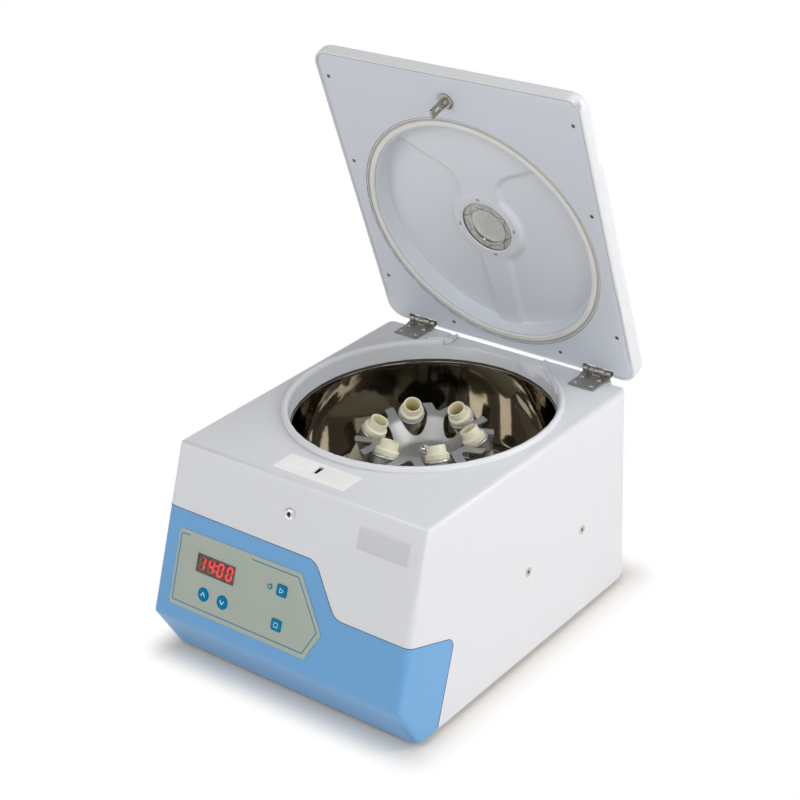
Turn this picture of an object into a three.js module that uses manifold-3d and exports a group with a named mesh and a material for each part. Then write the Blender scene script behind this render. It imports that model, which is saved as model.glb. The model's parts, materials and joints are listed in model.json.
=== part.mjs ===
// Benchtop centrifuge with an open lid, a six-place swing-out rotor and a front control panel.
// Millimetres, +Z up, the front faces -Y. The origin is on the ground under the middle of the whole.

import * as THREE from 'three';
import { mergeVertices } from 'three/addons/utils/BufferGeometryUtils.js';
import Module from 'manifold-3d';

const wasm = await Module();
wasm.setup();

// Driving dimensions of the case
const caseWidth = 330;
const caseDepth = 422.2;
const deckHeight = 229.8;
const foldHeight = 53.4;
const deckFront = 64.7;
const chamferReach = 30.2;
const caseWall = 3;
const frontCornerRadius = 8;
const rearCornerRadius = 22;
const foldRadius = 11;
const topEdgeRadius = 8;
const footHeight = 8;

// Driving dimensions of the bowl and the rotor
const spinAxisY = 268.5;
const bowlSideRoom = 22.5;
const bowlRadius = caseWidth / 2 - bowlSideRoom;
const bowlSheet = 1.5;
const pivotRadius = 60.15;
const pivotBelowDeck = 45;
const pivotHeight = deckHeight - pivotBelowDeck;
const tiltDegrees = 29;
const placeCount = 6;
const firstPlaceDegrees = 21.9;
const tubeBoreRadius = 8.4;

// Driving dimensions of the lid
const lidHalfWidth = 167.2;
const lidLength = 366.7;
const lidThickness = 18;
const plateauThickness = 22;
const hingeInset = 4.1;
const hingeAxisBehindCase = 3.3;
const hingeAxisAboveDeck = 6.2;
const lidFaceRise = 0.8;
const openDegrees = 72.2;

// Fits
const seatGap = 0.3;
const runningGap = 0.4;
const overrun = 6;
const weldDistance = 0.0005;

// Facets
const largeSegments = 40;
const mediumSegments = 24;
const smallSegments = 16;
const carrierSegments = 14;
const tinySegments = 8;
const pinSegments = 6;
const arcSteps = 3;

// Places worked out from the driving dimensions
const slantLength = Math.hypot(deckFront, deckHeight - foldHeight);
const slantUp = new THREE.Vector3(0, deckFront / slantLength, (deckHeight - foldHeight) / slantLength);
const slantOut = new THREE.Vector3(0, -slantUp.z, slantUp.y);
const chamferLength = Math.hypot(chamferReach, foldHeight);
const chamferUp = new THREE.Vector3(0, -chamferReach / chamferLength, foldHeight / chamferLength);
const chamferOut = new THREE.Vector3(0, -chamferUp.z, chamferUp.y);
const hingeAxisY = caseDepth + hingeAxisBehindCase;
const hingeAxisZ = deckHeight + hingeAxisAboveDeck;
const openAngle = THREE.MathUtils.degToRad(openDegrees);
const overallDepth = hingeAxisY + hingeInset * Math.cos(openAngle)
  + (plateauThickness + lidFaceRise) * Math.sin(openAngle);

// Frames that an outline is drawn in: right, up, and out, along which it is extruded
const axisX = new THREE.Vector3(1, 0, 0);
const axisY = new THREE.Vector3(0, 1, 0);
const axisZ = new THREE.Vector3(0, 0, 1);
const originPoint = new THREE.Vector3();
const planFrame = { right: axisX, up: axisY, out: axisZ, origin: originPoint };
const sideFrame = { right: axisY, up: axisZ, out: axisX, origin: originPoint };
const frontFrame = { right: axisX, up: axisZ, out: axisY.clone().negate(), origin: originPoint };
const panelFrame = { right: axisX, up: slantUp, out: slantOut, origin: new THREE.Vector3(0, 0, foldHeight) };
const slantSection = {
  right: axisX, up: slantOut, out: slantUp.clone().negate(), origin: new THREE.Vector3(0, 0, foldHeight),
};
const chamferSection = {
  right: axisX, up: chamferOut, out: chamferUp.clone().negate(), origin: new THREE.Vector3(0, 0, foldHeight),
};

// Volume that a triangle mesh encloses, negative where its faces point inward
function signedVolume(positions, triangles) {
  const a = new THREE.Vector3();
  const b = new THREE.Vector3();
  const c = new THREE.Vector3();
  let sum = 0;
  for (let i = 0; i < triangles.length; i += 3) {
    a.fromArray(positions, triangles[i] * 3);
    b.fromArray(positions, triangles[i + 1] * 3);
    c.fromArray(positions, triangles[i + 2] * 3);
    sum += a.dot(b.cross(c));
  }
  return sum;
}

// A solid that can be joined and cut, from any closed three.js geometry
function solidFrom(geometry) {
  const bare = geometry.clone();
  bare.deleteAttribute('normal');
  bare.deleteAttribute('uv');
  const welded = mergeVertices(bare, weldDistance);
  const source = welded.index.array;
  const triangles = [];
  for (let i = 0; i < source.length; i += 3) {
    const [p, q, r] = [source[i], source[i + 1], source[i + 2]];
    if (p !== q && q !== r && r !== p) {
      triangles.push(p, q, r);
    }
  }
  const positions = Float32Array.from(welded.attributes.position.array);
  if (signedVolume(positions, triangles) < 0) {
    triangles.reverse();
  }
  const mesh = new wasm.Mesh({ numProp: 3, vertProperties: positions, triVerts: Uint32Array.from(triangles) });
  return new wasm.Manifold(mesh);
}

function join(...solids) {
  return solids.reduce((whole, next) => whole.add(next));
}

function cut(solid, ...tools) {
  return tools.reduce((rest, tool) => rest.subtract(tool), solid);
}

function common(...solids) {
  return solids.reduce((whole, next) => whole.intersect(next));
}

// Points of an outline from corners given as [x, y, radius], each radius turned into an arc
function roundedOutline(corners, steps = arcSteps) {
  const points = [];
  const count = corners.length;
  corners.forEach(([x, y, radius = 0], index) => {
    const here = new THREE.Vector2(x, y);
    if (radius <= 0) {
      points.push(here);
      return;
    }
    const previous = corners[(index + count - 1) % count];
    const next = corners[(index + 1) % count];
    const toPrevious = new THREE.Vector2(previous[0], previous[1]).sub(here).normalize();
    const toNext = new THREE.Vector2(next[0], next[1]).sub(here).normalize();
    const halfAngle = Math.acos(THREE.MathUtils.clamp(toPrevious.dot(toNext), -1, 1)) / 2;
    const bisector = toPrevious.clone().add(toNext).normalize();
    const centre = here.clone().addScaledVector(bisector, radius / Math.sin(halfAngle));
    const start = here.clone().addScaledVector(toPrevious, radius / Math.tan(halfAngle)).sub(centre);
    const end = here.clone().addScaledVector(toNext, radius / Math.tan(halfAngle)).sub(centre);
    const sweep = Math.atan2(start.cross(end), start.dot(end));
    for (let step = 0; step <= steps; step += 1) {
      points.push(start.clone().rotateAround(new THREE.Vector2(), (sweep * step) / steps).add(centre));
    }
  });
  return points;
}

// The same corners moved inward by a distance, for an outline that runs anticlockwise
function insetCorners(corners, distance) {
  const count = corners.length;
  return corners.map(([x, y, radius = 0], index) => {
    const [px, py] = corners[(index + count - 1) % count];
    const [nx, ny] = corners[(index + 1) % count];
    const before = new THREE.Vector2(x - px, y - py).normalize();
    const after = new THREE.Vector2(nx - x, ny - y).normalize();
    const turn = before.cross(after);
    const inward = new THREE.Vector2(-before.y, before.x);
    const along = (1 - before.dot(after)) / turn;
    const moved = new THREE.Vector2(x, y)
      .addScaledVector(inward, distance)
      .addScaledVector(before, -distance * along);
    return [moved.x, moved.y, Math.max(0, radius - distance * Math.sign(turn) * Math.sign(radius))];
  });
}

// A prism of an outline, between two distances along the frame's out direction
function prism(frame, points, from, to) {
  const geometry = new THREE.ExtrudeGeometry(new THREE.Shape(points), { depth: to - from, bevelEnabled: false });
  const place = frame.origin.clone().addScaledVector(frame.out, from);
  geometry.applyMatrix4(new THREE.Matrix4().makeBasis(frame.right, frame.up, frame.out).setPosition(place));
  return solidFrom(geometry);
}

function rectangle(left, right, low, high, radius = 0) {
  return [[left, low, radius], [right, low, radius], [right, high, radius], [left, high, radius]];
}

function circlePoints(x, y, radius, segments = smallSegments) {
  return Array.from({ length: segments }, (_, index) => {
    const angle = (2 * Math.PI * index) / segments;
    return new THREE.Vector2(x + radius * Math.cos(angle), y + radius * Math.sin(angle));
  });
}

function block(x0, x1, y0, y1, z0, z1) {
  const geometry = new THREE.BoxGeometry(x1 - x0, y1 - y0, z1 - z0);
  geometry.translate((x0 + x1) / 2, (y0 + y1) / 2, (z0 + z1) / 2);
  return solidFrom(geometry);
}

// A solid of revolution about a frame's out direction, from a profile of [radius, distance]
function revolveOn(frame, x, y, profile, segments = smallSegments) {
  const points = profile.map(([radius, height]) => new THREE.Vector2(radius, height));
  const closed = profile[0][0] === 0;
  const geometry = new THREE.LatheGeometry(closed ? points : [...points, points[0]], segments);
  geometry.rotateX(Math.PI / 2);
  geometry.translate(x, y, 0);
  geometry.applyMatrix4(new THREE.Matrix4().makeBasis(frame.right, frame.up, frame.out).setPosition(frame.origin));
  return solidFrom(geometry);
}

// A solid of revolution about an upright axis, from a profile of [radius, height]
function revolve(profile, segments = mediumSegments, x = 0, y = 0) {
  return revolveOn(planFrame, x, y, profile, segments);
}

function rod(radius, from, to, segments = smallSegments, x = 0, y = 0) {
  return revolve([[0, from], [radius, from], [radius, to], [0, to]], segments, x, y);
}

function pipe(inner, outer, from, to, segments = mediumSegments, x = 0, y = 0) {
  return revolve([[inner, from], [outer, from], [outer, to], [inner, to]], segments, x, y);
}

// A round bar along X, Y or another frame's out direction
function bar(frame, x, y, radius, from, to, segments = smallSegments) {
  return prism(frame, circlePoints(x, y, radius, segments), from, to);
}

// Points of an arc in a profile, from one angle to another in degrees
function arcPoints(x, y, radiusX, radiusY, fromDegrees, toDegrees, steps) {
  return Array.from({ length: steps + 1 }, (_, index) => {
    const angle = THREE.MathUtils.degToRad(fromDegrees + ((toDegrees - fromDegrees) * index) / steps);
    return [x + radiusX * Math.cos(angle), y + radiusY * Math.sin(angle)];
  });
}

// Materials
const finish = (color, roughness, metalness) => new THREE.MeshStandardMaterial({ color, roughness, metalness });
const whitePaint = finish(0xe9ebf0, 0.4, 0);
const bluePaint = finish(0x78b4e8, 0.4, 0);
const overlayFilm = finish(0xc9d3c4, 0.5, 0);
const tealPlastic = finish(0x2f7fa6, 0.4, 0);
const darkPlastic = finish(0x1d1d1f, 0.4, 0);
const redWindow = finish(0x2a0c0c, 0.15, 0);
const boardGreen = finish(0x1f5a35, 0.6, 0);
const mirrorSteel = finish(0xb9b4aa, 0.08, 1);
const brushedSteel = finish(0xa9a8a4, 0.35, 1);
const aluminium = finish(0xc4c6c9, 0.4, 1);
const blackRubber = finish(0x161616, 0.85, 0);
const creamPlastic = finish(0xece5c4, 0.45, 0);
const greyRubber = finish(0xd9d8d2, 0.6, 0);
const clearPlastic = finish(0xdfe4e4, 0.05, 0);

function addPiece(group, name, solid, material) {
  const { vertProperties, triVerts } = solid.getMesh();
  const geometry = new THREE.BufferGeometry();
  geometry.setAttribute('position', new THREE.BufferAttribute(vertProperties, 3));
  geometry.setIndex(new THREE.BufferAttribute(triVerts, 1));
  geometry.computeVertexNormals();
  const mesh = new THREE.Mesh(geometry, material);
  mesh.name = name;
  group.add(mesh);
}

const centrifuge = new THREE.Group();
const housing = new THREE.Group();
housing.position.set(0, -overallDepth / 2, footHeight);
centrifuge.add(housing);

// Case form: the solid inside the outer faces, or inside faces moved inward by an inset
const farReach = caseDepth + caseWidth;

function caseForm(inset) {
  const drop = overrun + caseWall;
  const dropReach = (drop * chamferReach) / foldHeight;
  const half = caseWidth / 2 - inset;
  const side = insetCorners([
    [chamferReach + dropReach, -drop],
    [caseDepth, -drop],
    [caseDepth, deckHeight, topEdgeRadius],
    [deckFront, deckHeight, topEdgeRadius],
    [0, foldHeight, foldRadius],
  ], inset);
  const front = rectangle(-half, half, -farReach, deckHeight - inset);
  front[2][2] = topEdgeRadius - inset;
  front[3][2] = topEdgeRadius - inset;
  const plan = rectangle(-half, half, -farReach, caseDepth - inset);
  plan[2][2] = rearCornerRadius - inset;
  plan[3][2] = rearCornerRadius - inset;
  const section = rectangle(-half, half, -farReach, -inset);
  section[2][2] = frontCornerRadius - inset;
  section[3][2] = frontCornerRadius - inset;
  return common(
    prism(sideFrame, roundedOutline(side), -half, half),
    prism(frontFrame, roundedOutline(front), -farReach, farReach),
    prism(planFrame, roundedOutline(plan), -farReach, farReach),
    prism(slantSection, roundedOutline(section), -farReach, farReach),
    prism(chamferSection, roundedOutline(section), -farReach, farReach),
  );
}

const groundCut = block(-farReach, farReach, -farReach, farReach, -farReach, 0);
const caseOutside = cut(caseForm(0), groundCut);
const caseShell = cut(caseOutside, caseForm(caseWall));
const insideHalfWidth = caseWidth / 2 - caseWall;

// Region of the blue skirt, drawn in [x, distance up the slant] and running back beside the case
const skirtHighTop = 118;
const skirtLowTop = 68;
const skirtStepHead = 37.2;
const skirtStepFoot = 71.6;
const skirtStepRadius = 18;
const skirtRearDepth = 77;
const skirtRearRadius = 11;
const partingGap = 0.4;
const slantSide = {
  right: slantOut.clone().negate(), up: slantUp, out: axisX, origin: new THREE.Vector3(0, 0, foldHeight),
};

function skirtRegion(growth) {
  const half = caseWidth / 2 + overrun;
  const low = -foldHeight - skirtRearDepth;
  const face = insetCorners([
    [-half, low],
    [half, low],
    [half, skirtLowTop],
    [skirtStepFoot, skirtLowTop, skirtStepRadius],
    [skirtStepHead, skirtHighTop, skirtStepRadius],
    [-half, skirtHighTop],
  ], -growth);
  const flank = (top) => roundedOutline(insetCorners([
    [-foldHeight, low],
    [skirtRearDepth, low],
    [skirtRearDepth, top, skirtRearRadius],
    [-foldHeight, top],
  ], -growth));
  const split = skirtStepFoot + skirtStepRadius;
  const reach = half + overrun;
  return common(
    prism(panelFrame, roundedOutline(face), -farReach, farReach),
    join(
      prism(slantSide, flank(skirtHighTop), -reach, split),
      prism(slantSide, flank(skirtLowTop), split, reach),
    ),
  );
}

// Rounded bead and inner wall round the bowl opening
const openingRadius = bowlRadius + bowlSheet;
const openingWall = 2.5;
const openingWallDrop = 16.8;
const openingWallFoot = deckHeight - openingWallDrop;
const beadRise = 6.4;
const beadWidth = 7.8;
const beadSteps = 6;
const deckUnderside = deckHeight - caseWall;

const openingBead = revolve([
  [openingRadius, openingWallFoot],
  [openingRadius + openingWall, openingWallFoot],
  [openingRadius + openingWall, deckUnderside],
  [openingRadius + beadWidth, deckUnderside],
  ...arcPoints(openingRadius + beadWidth / 2, deckHeight, beadWidth / 2, beadRise, 0, 180, beadSteps),
], largeSegments, 0, spinAxisY);

// Shallow channel from the opening to the rear edge of the deck
const channelDrop = 1.2;
const channelFloor = deckHeight - channelDrop;
const channelLeftRear = 80.5;
const channelLeftFront = 72;
const channelRightRear = 50;
const channelRightFront = 102;
const channelCornerRadius = 7;
const channelFrontY = 372;
const channelBendY = 400;
const channelOutline = [
  [channelRightRear, caseDepth + overrun],
  [-channelLeftRear, caseDepth + overrun],
  [-channelLeftFront, channelBendY, channelCornerRadius],
  [-channelRightRear, channelFrontY],
  [0, spinAxisY + openingRadius / 2],
  [channelRightRear, spinAxisY + openingRadius / 2],
  [channelRightFront, channelFrontY, channelCornerRadius],
  [channelRightRear, caseDepth, channelCornerRadius],
];

// Slot for the latch strike and hole for the lock release
const strikeThickness = 3;
const strikeWidth = 10;
const strikeFromHinge = 333.9;
const strikeY = hingeAxisY + hingeInset - strikeFromHinge;
const slotSideGap = 1.4;
const slotSwingRoom = 2.1;
const releaseX = -4;
const releaseUp = 154.1;
const releaseFlangeRadius = 6.5;
const releaseBarrelRadius = 4.7;
const releaseBoreRadius = 2.6;
const releaseLip = 1.2;
const releaseDepth = 9;
const strikeSlot = block(
  -strikeThickness / 2 - slotSideGap,
  strikeThickness / 2 + slotSideGap,
  strikeY - strikeWidth / 2 - slotSwingRoom,
  strikeY + strikeWidth / 2 + slotSideGap,
  deckHeight - overrun,
  deckHeight + overrun,
);

// Rear inlet module with the rocker of the power switch beside the socket
const inletX = -95;
const inletZ = 62;
const inletWidth = 56;
const inletHeight = 27;
const inletMargin = 6;
const inletFlange = 2.2;
const inletDepth = 30;
const socketWidth = 24;
const socketHeight = 17;
const socketDepth = 18;
const socketFromCentre = 10;
const switchWidth = 12;
const switchHeight = 20;
const switchDepth = 12;
const switchFromCentre = 17;
const inletHole = block(
  inletX - inletWidth / 2 - seatGap,
  inletX + inletWidth / 2 + seatGap,
  caseDepth - caseWall - overrun,
  caseDepth + overrun,
  inletZ - inletHeight / 2 - seatGap,
  inletZ + inletHeight / 2 + seatGap,
);

// Cooling slots low in the rear wall
const ventCount = 7;
const ventWidth = 3.6;
const ventHeight = 34;
const ventPitch = 10;
const ventX = 60;
const vents = Array.from({ length: ventCount }, (_, index) => {
  const x = ventX + ventPitch * (index - (ventCount - 1) / 2);
  return block(
    x - ventWidth / 2, x + ventWidth / 2, caseDepth - caseWall - overrun, caseDepth + overrun,
    inletZ - ventHeight / 2, inletZ + ventHeight / 2,
  );
});

function topCover() {
  const channelBody = prism(
    planFrame, roundedOutline(insetCorners(channelOutline, -caseWall)), channelFloor - caseWall, deckHeight,
  );
  const openingTop = deckHeight + beadRise + overrun;
  return cut(
    join(caseShell, common(channelBody, caseOutside), openingBead),
    rod(openingRadius, openingWallFoot - overrun, openingTop, largeSegments, 0, spinAxisY),
    prism(planFrame, roundedOutline(channelOutline), channelFloor, openingTop),
    strikeSlot,
    bar(panelFrame, releaseX, releaseUp, releaseBarrelRadius + seatGap, -caseWall - overrun, overrun),
    inletHole,
    ...vents,
    skirtRegion(partingGap),
  );
}

addPiece(housing, 'top_cover', topCover(), whitePaint);

// Control panel, with places given as x and as a distance up the slant
const windowLeft = -113.4;
const windowRight = -61;
const windowLow = 60;
const windowHigh = 80;
const windowThickness = 2;
const arrowRadius = 6.2;
const arrowUp = 38.7;
const upButtonX = -97.9;
const downButtonX = -71.4;
const keyX = 2.5;
const keyWidth = 13;
const keyHeight = 12;
const keyRadius = 2;
const startKeyUp = 75.4;
const stopKeyUp = 39;
const ledX = -13.1;
const ledUp = 75.3;
const ledRadius = 2.4;
const buttonProud = 1.6;
const buttonTravel = 0.8;
const buttonFlange = 1.2;
const buttonStemRadius = 1.8;
const boardDepth = 13;
const boardThickness = 1.6;
const boardMargin = 9;
const postRadius = 3;
const overlayThickness = 0.4;
const overlayRadius = 4;
const overlayLeft = 143;
const overlayLow = 16.4;
const overlayHigh = 98.8;
const overlayTopRight = 23.5;
const overlayTopRise = 1.8;
const overlayTip = 59.7;
const overlayTipUp = 47.5;
const overlayLowRight = 43.6;
const overlayOutline = [
  [-overlayLeft, overlayLow, overlayRadius],
  [overlayLowRight, overlayLow, overlayRadius],
  [overlayTip, overlayTipUp, overlayRadius],
  [overlayTopRight, overlayHigh + overlayTopRise, overlayRadius],
  [-overlayLeft, overlayHigh, overlayRadius],
];

const boardLeft = upButtonX - keyWidth - boardMargin;
const boardRight = keyX + keyWidth + boardMargin;
const boardLow = arrowUp - keyHeight;
const boardHigh = windowHigh + boardMargin;
const arrowPlaces = [['button_up', upButtonX, arrowUp], ['button_down', downButtonX, arrowUp]];
const keyPlaces = [['button_start', keyX, startKeyUp], ['button_stop', keyX, stopKeyUp]];
const keyCorners = (x, up, growth) => roundedOutline(rectangle(
  x - keyWidth / 2 - growth, x + keyWidth / 2 + growth,
  up - keyHeight / 2 - growth, up + keyHeight / 2 + growth, keyRadius + growth,
), 2);
const holeFoot = -caseWall - overrun;
const panelHoles = join(
  prism(panelFrame, roundedOutline(rectangle(
    windowLeft - seatGap, windowRight + seatGap, windowLow - seatGap, windowHigh + seatGap,
  )), holeFoot, overrun),
  ...arrowPlaces.map(([, x, up]) => bar(panelFrame, x, up, arrowRadius + seatGap, holeFoot, overrun)),
  ...keyPlaces.map(([, x, up]) => prism(panelFrame, keyCorners(x, up, seatGap), holeFoot, overrun)),
  bar(panelFrame, ledX, ledUp, ledRadius + seatGap, holeFoot, overrun),
);

// Front skirt with four posts that carry the control board
const postPlaces = [boardLeft + postRadius, boardRight - postRadius].flatMap((x) => (
  [boardLow + postRadius, boardHigh - postRadius].map((up) => [x, up])
));
const posts = postPlaces.map(([x, up]) => (
  bar(panelFrame, x, up, postRadius, seatGap - boardDepth, -caseWall / 2, tinySegments)
));
addPiece(
  housing, 'front_skirt', cut(join(common(caseShell, skirtRegion(0)), ...posts), panelHoles), bluePaint,
);

addPiece(housing, 'control_overlay', cut(
  prism(panelFrame, roundedOutline(overlayOutline), seatGap, seatGap + overlayThickness), panelHoles,
), overlayFilm);

const windowCorners = roundedOutline(rectangle(windowLeft, windowRight, windowLow, windowHigh));
addPiece(housing, 'display_window', prism(
  panelFrame, windowCorners, seatGap - windowThickness, seatGap,
), redWindow);
addPiece(housing, 'display_module', prism(
  panelFrame, windowCorners, seatGap - boardDepth, -windowThickness,
), darkPlastic);

addPiece(housing, 'control_board', prism(
  panelFrame, roundedOutline(rectangle(boardLeft, boardRight, boardLow, boardHigh)),
  -boardDepth - boardThickness, -boardDepth,
), boardGreen);

const capFoot = -caseWall - seatGap;
const stemEnd = buttonTravel + seatGap - boardDepth;
const buttonStem = (x, up) => bar(panelFrame, x, up, buttonStemRadius, stemEnd, capFoot, tinySegments);
arrowPlaces.forEach(([name, x, up]) => {
  addPiece(housing, name, join(
    bar(panelFrame, x, up, arrowRadius, capFoot - buttonFlange, buttonProud),
    bar(panelFrame, x, up, arrowRadius + buttonFlange, capFoot - buttonFlange, capFoot),
    buttonStem(x, up),
  ), tealPlastic);
});
keyPlaces.forEach(([name, x, up]) => {
  addPiece(housing, name, join(
    prism(panelFrame, keyCorners(x, up, 0), capFoot - buttonFlange, buttonProud),
    prism(panelFrame, keyCorners(x, up, buttonFlange), capFoot - buttonFlange, capFoot),
    buttonStem(x, up),
  ), tealPlastic);
});

addPiece(housing, 'status_led', revolveOn(panelFrame, ledX, ledUp, [
  [0, seatGap - boardDepth],
  [ledRadius, seatGap - boardDepth],
  ...arcPoints(0, 0, ledRadius, buttonProud, 0, 90, arcSteps).slice(0, -1),
  [0, buttonProud],
]), redWindow);

// Release grommet in the slanted front
addPiece(housing, 'release_grommet', revolveOn(panelFrame, releaseX, releaseUp, [
  [releaseBoreRadius, seatGap + releaseLip],
  [releaseBoreRadius, -releaseDepth],
  [releaseBarrelRadius, -releaseDepth],
  [releaseBarrelRadius, seatGap],
  [releaseFlangeRadius, seatGap],
  [releaseFlangeRadius - releaseLip, seatGap + releaseLip],
]), brushedSteel);

// Base plate with pillars for the power board, and four feet plugged into it
const baseThickness = 2;
const footTopRadius = 12;
const footBottomRadius = 10;
const footStudRadius = 4;
const footFromSide = 35;
const footFromFront = 62;
const footFromRear = 38;
const pillarRadius = 4;
const powerBoardX = -30;
const powerBoardY = 388;
const powerBoardWidth = 130;
const powerBoardDepth = 44;
const powerBoardHeight = 12;
const baseFront = (caseWall * chamferLength) / foldHeight + chamferReach + seatGap;
const footPlaces = [footFromFront, caseDepth - footFromRear].flatMap((y) => (
  [-caseWidth / 2 + footFromSide, caseWidth / 2 - footFromSide].map((x) => [x, y])
));
const pillarPlaces = [-1, 1].flatMap((sideX) => [-1, 1].map((sideY) => [
  powerBoardX + sideX * (powerBoardWidth / 2 - pillarRadius),
  powerBoardY + sideY * (powerBoardDepth / 2 - pillarRadius),
]));

function basePlate() {
  const half = insideHalfWidth - seatGap;
  const corners = rectangle(
    -half, half, baseFront, caseDepth - caseWall - seatGap, rearCornerRadius - caseWall,
  );
  return cut(
    join(
      prism(planFrame, roundedOutline(corners), 0, baseThickness),
      ...pillarPlaces.map(([x, y]) => rod(pillarRadius, 0, powerBoardHeight - seatGap, tinySegments, x, y)),
    ),
    ...footPlaces.map(([x, y]) => (
      rod(footStudRadius + seatGap, -overrun, baseThickness + overrun, smallSegments, x, y)
    )),
  );
}

addPiece(housing, 'base_plate', basePlate(), brushedSteel);
footPlaces.forEach(([x, y], index) => {
  addPiece(housing, `foot_${index + 1}`, revolve([
    [0, -footHeight],
    [footBottomRadius, -footHeight],
    [footTopRadius, -seatGap],
    [footStudRadius, -seatGap],
    [footStudRadius, baseThickness],
    [0, baseThickness],
  ], smallSegments, x, y), blackRubber);
});

// Chassis: a bridge that carries the bowl above and the motor below
const chassisDrop = 139.8;
const chassisTop = deckHeight - chassisDrop;
const chassisSheet = 2;
const chassisFront = 200;
const chassisRear = 350;
const chassisFlank = 18;
const chassisFlankTop = chassisTop + chassisFlank;
const chassisHoleRadius = 22;
const mountCircle = 33;
const mountRadius = 7.5;
const mountWaist = 1;
const mountStudRadius = 2.5;
const mountCount = 3;
const mountPlaces = Array.from({ length: mountCount }, (_, index) => {
  const angle = (2 * Math.PI * index) / mountCount + Math.PI / 2;
  return [mountCircle * Math.cos(angle), spinAxisY + mountCircle * Math.sin(angle)];
});

function chassisPlate() {
  const half = insideHalfWidth - seatGap;
  const foot = baseThickness + seatGap;
  const section = [
    [-half, foot],
    [chassisSheet - half, foot],
    [chassisSheet - half, chassisTop - chassisSheet],
    [half - chassisSheet, chassisTop - chassisSheet],
    [half - chassisSheet, foot],
    [half, foot],
    [half, chassisFlankTop],
    [half - chassisSheet, chassisFlankTop],
    [half - chassisSheet, chassisTop],
    [chassisSheet - half, chassisTop],
    [chassisSheet - half, chassisFlankTop],
    [-half, chassisFlankTop],
  ];
  const holeFootZ = chassisTop - chassisSheet - overrun;
  return cut(
    prism(frontFrame, roundedOutline(section), -chassisRear, -chassisFront),
    rod(chassisHoleRadius, holeFootZ, chassisTop + overrun, mediumSegments, 0, spinAxisY),
    ...mountPlaces.map(([x, y]) => (
      rod(mountStudRadius + seatGap, holeFootZ, chassisTop + overrun, tinySegments, x, y)
    )),
  );
}

addPiece(housing, 'chassis_plate', chassisPlate(), brushedSteel);

// Bowl of mirror-bright steel with a fillet at the floor and a flat rim
const bowlRimDrop = 19.6;
const bowlRimTop = deckHeight - bowlRimDrop;
const bowlRimWidth = 7.5;
const bowlRimRadius = bowlRadius + bowlRimWidth;
const bowlFillet = 25;
const bowlHoleRadius = 20;
const bowlUnderside = chassisTop + seatGap;
const bowlFloor = bowlUnderside + bowlSheet;
const filletSteps = 3;
const filletAt = [bowlRadius - bowlFillet, bowlFloor + bowlFillet];
const outerFillet = bowlFillet + bowlSheet;

addPiece(housing, 'bowl', revolve([
  [bowlHoleRadius, bowlUnderside],
  ...arcPoints(...filletAt, outerFillet, outerFillet, -90, 0, filletSteps),
  [bowlRadius + bowlSheet, bowlRimTop - bowlSheet],
  [bowlRimRadius, bowlRimTop - bowlSheet],
  [bowlRimRadius, bowlRimTop],
  [bowlRadius, bowlRimTop],
  ...arcPoints(...filletAt, bowlFillet, bowlFillet, 0, -90, filletSteps),
  [bowlHoleRadius, bowlFloor],
], largeSegments, 0, spinAxisY), mirrorSteel);

addPiece(housing, 'bowl_gasket', pipe(
  openingRadius, bowlRimRadius, bowlRimTop + seatGap, openingWallFoot - seatGap, largeSegments, 0, spinAxisY,
), blackRubber);

// Motor hung from the chassis on three rubber mounts
const motorBottom = 10;
const motorCapRadius = 30;
const motorCapTop = 16;
const motorRadius = 40;
const motorFlangeRadius = 44;
const motorMountHeight = 11;
const motorFlangeTop = chassisTop - motorMountHeight;
const motorFlange = 3;
const shaftRadius = 5;
const shaftInMotor = 39;
const shaftBottom = motorFlangeTop - shaftInMotor;

addPiece(housing, 'motor', cut(revolve([
  [0, motorBottom],
  [motorCapRadius, motorBottom],
  [motorCapRadius, motorCapTop],
  [motorRadius, motorCapTop],
  [motorRadius, motorFlangeTop - motorFlange],
  [motorFlangeRadius, motorFlangeTop - motorFlange],
  [motorFlangeRadius, motorFlangeTop],
  [0, motorFlangeTop],
], mediumSegments, 0, spinAxisY), rod(
  shaftRadius + runningGap, shaftBottom - runningGap, motorFlangeTop + overrun, smallSegments, 0, spinAxisY,
)), brushedSteel);

mountPlaces.forEach(([x, y], index) => {
  const bottom = motorFlangeTop + seatGap;
  const top = chassisTop - chassisSheet - seatGap;
  addPiece(housing, `motor_mount_${index + 1}`, revolve([
    [0, bottom],
    [mountRadius, bottom],
    [mountRadius - mountWaist, (bottom + top) / 2],
    [mountRadius, top],
    [mountStudRadius, top],
    [mountStudRadius, chassisTop],
    [0, chassisTop],
  ], tinySegments, x, y), blackRubber);
});

// Rubber boot that closes the bowl floor round the shaft
const bootBore = 7;
const bootFlangeRadius = 25;
const bootFlange = 2;
const bootRise = 22;
const bootTop = chassisTop + bootRise;
const bootTopRadius = 11;
const bootBottom = motorFlangeTop + seatGap;
const bootSeat = bowlFloor + seatGap;
addPiece(housing, 'motor_boot', revolve([
  [bootBore, bootBottom],
  [bowlHoleRadius - seatGap, bootBottom],
  [bowlHoleRadius - seatGap, bootSeat],
  [bootFlangeRadius, bootSeat],
  [bootFlangeRadius, bootSeat + bootFlange],
  [bootTopRadius, bootTop],
  [bootBore, bootTop],
], mediumSegments, 0, spinAxisY), blackRubber);

// Power board with a transformer and two capacitors
const transformerWidth = 42;
const transformerDepth = 34;
const transformerHeight = 26;
const transformerFromCentre = 34;
const capacitorRadius = 7;
const capacitorHeight = 22;
const capacitorSpacing = 22;
const powerBoardTop = powerBoardHeight + boardThickness;
const transformerX = powerBoardX - transformerFromCentre;

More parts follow.
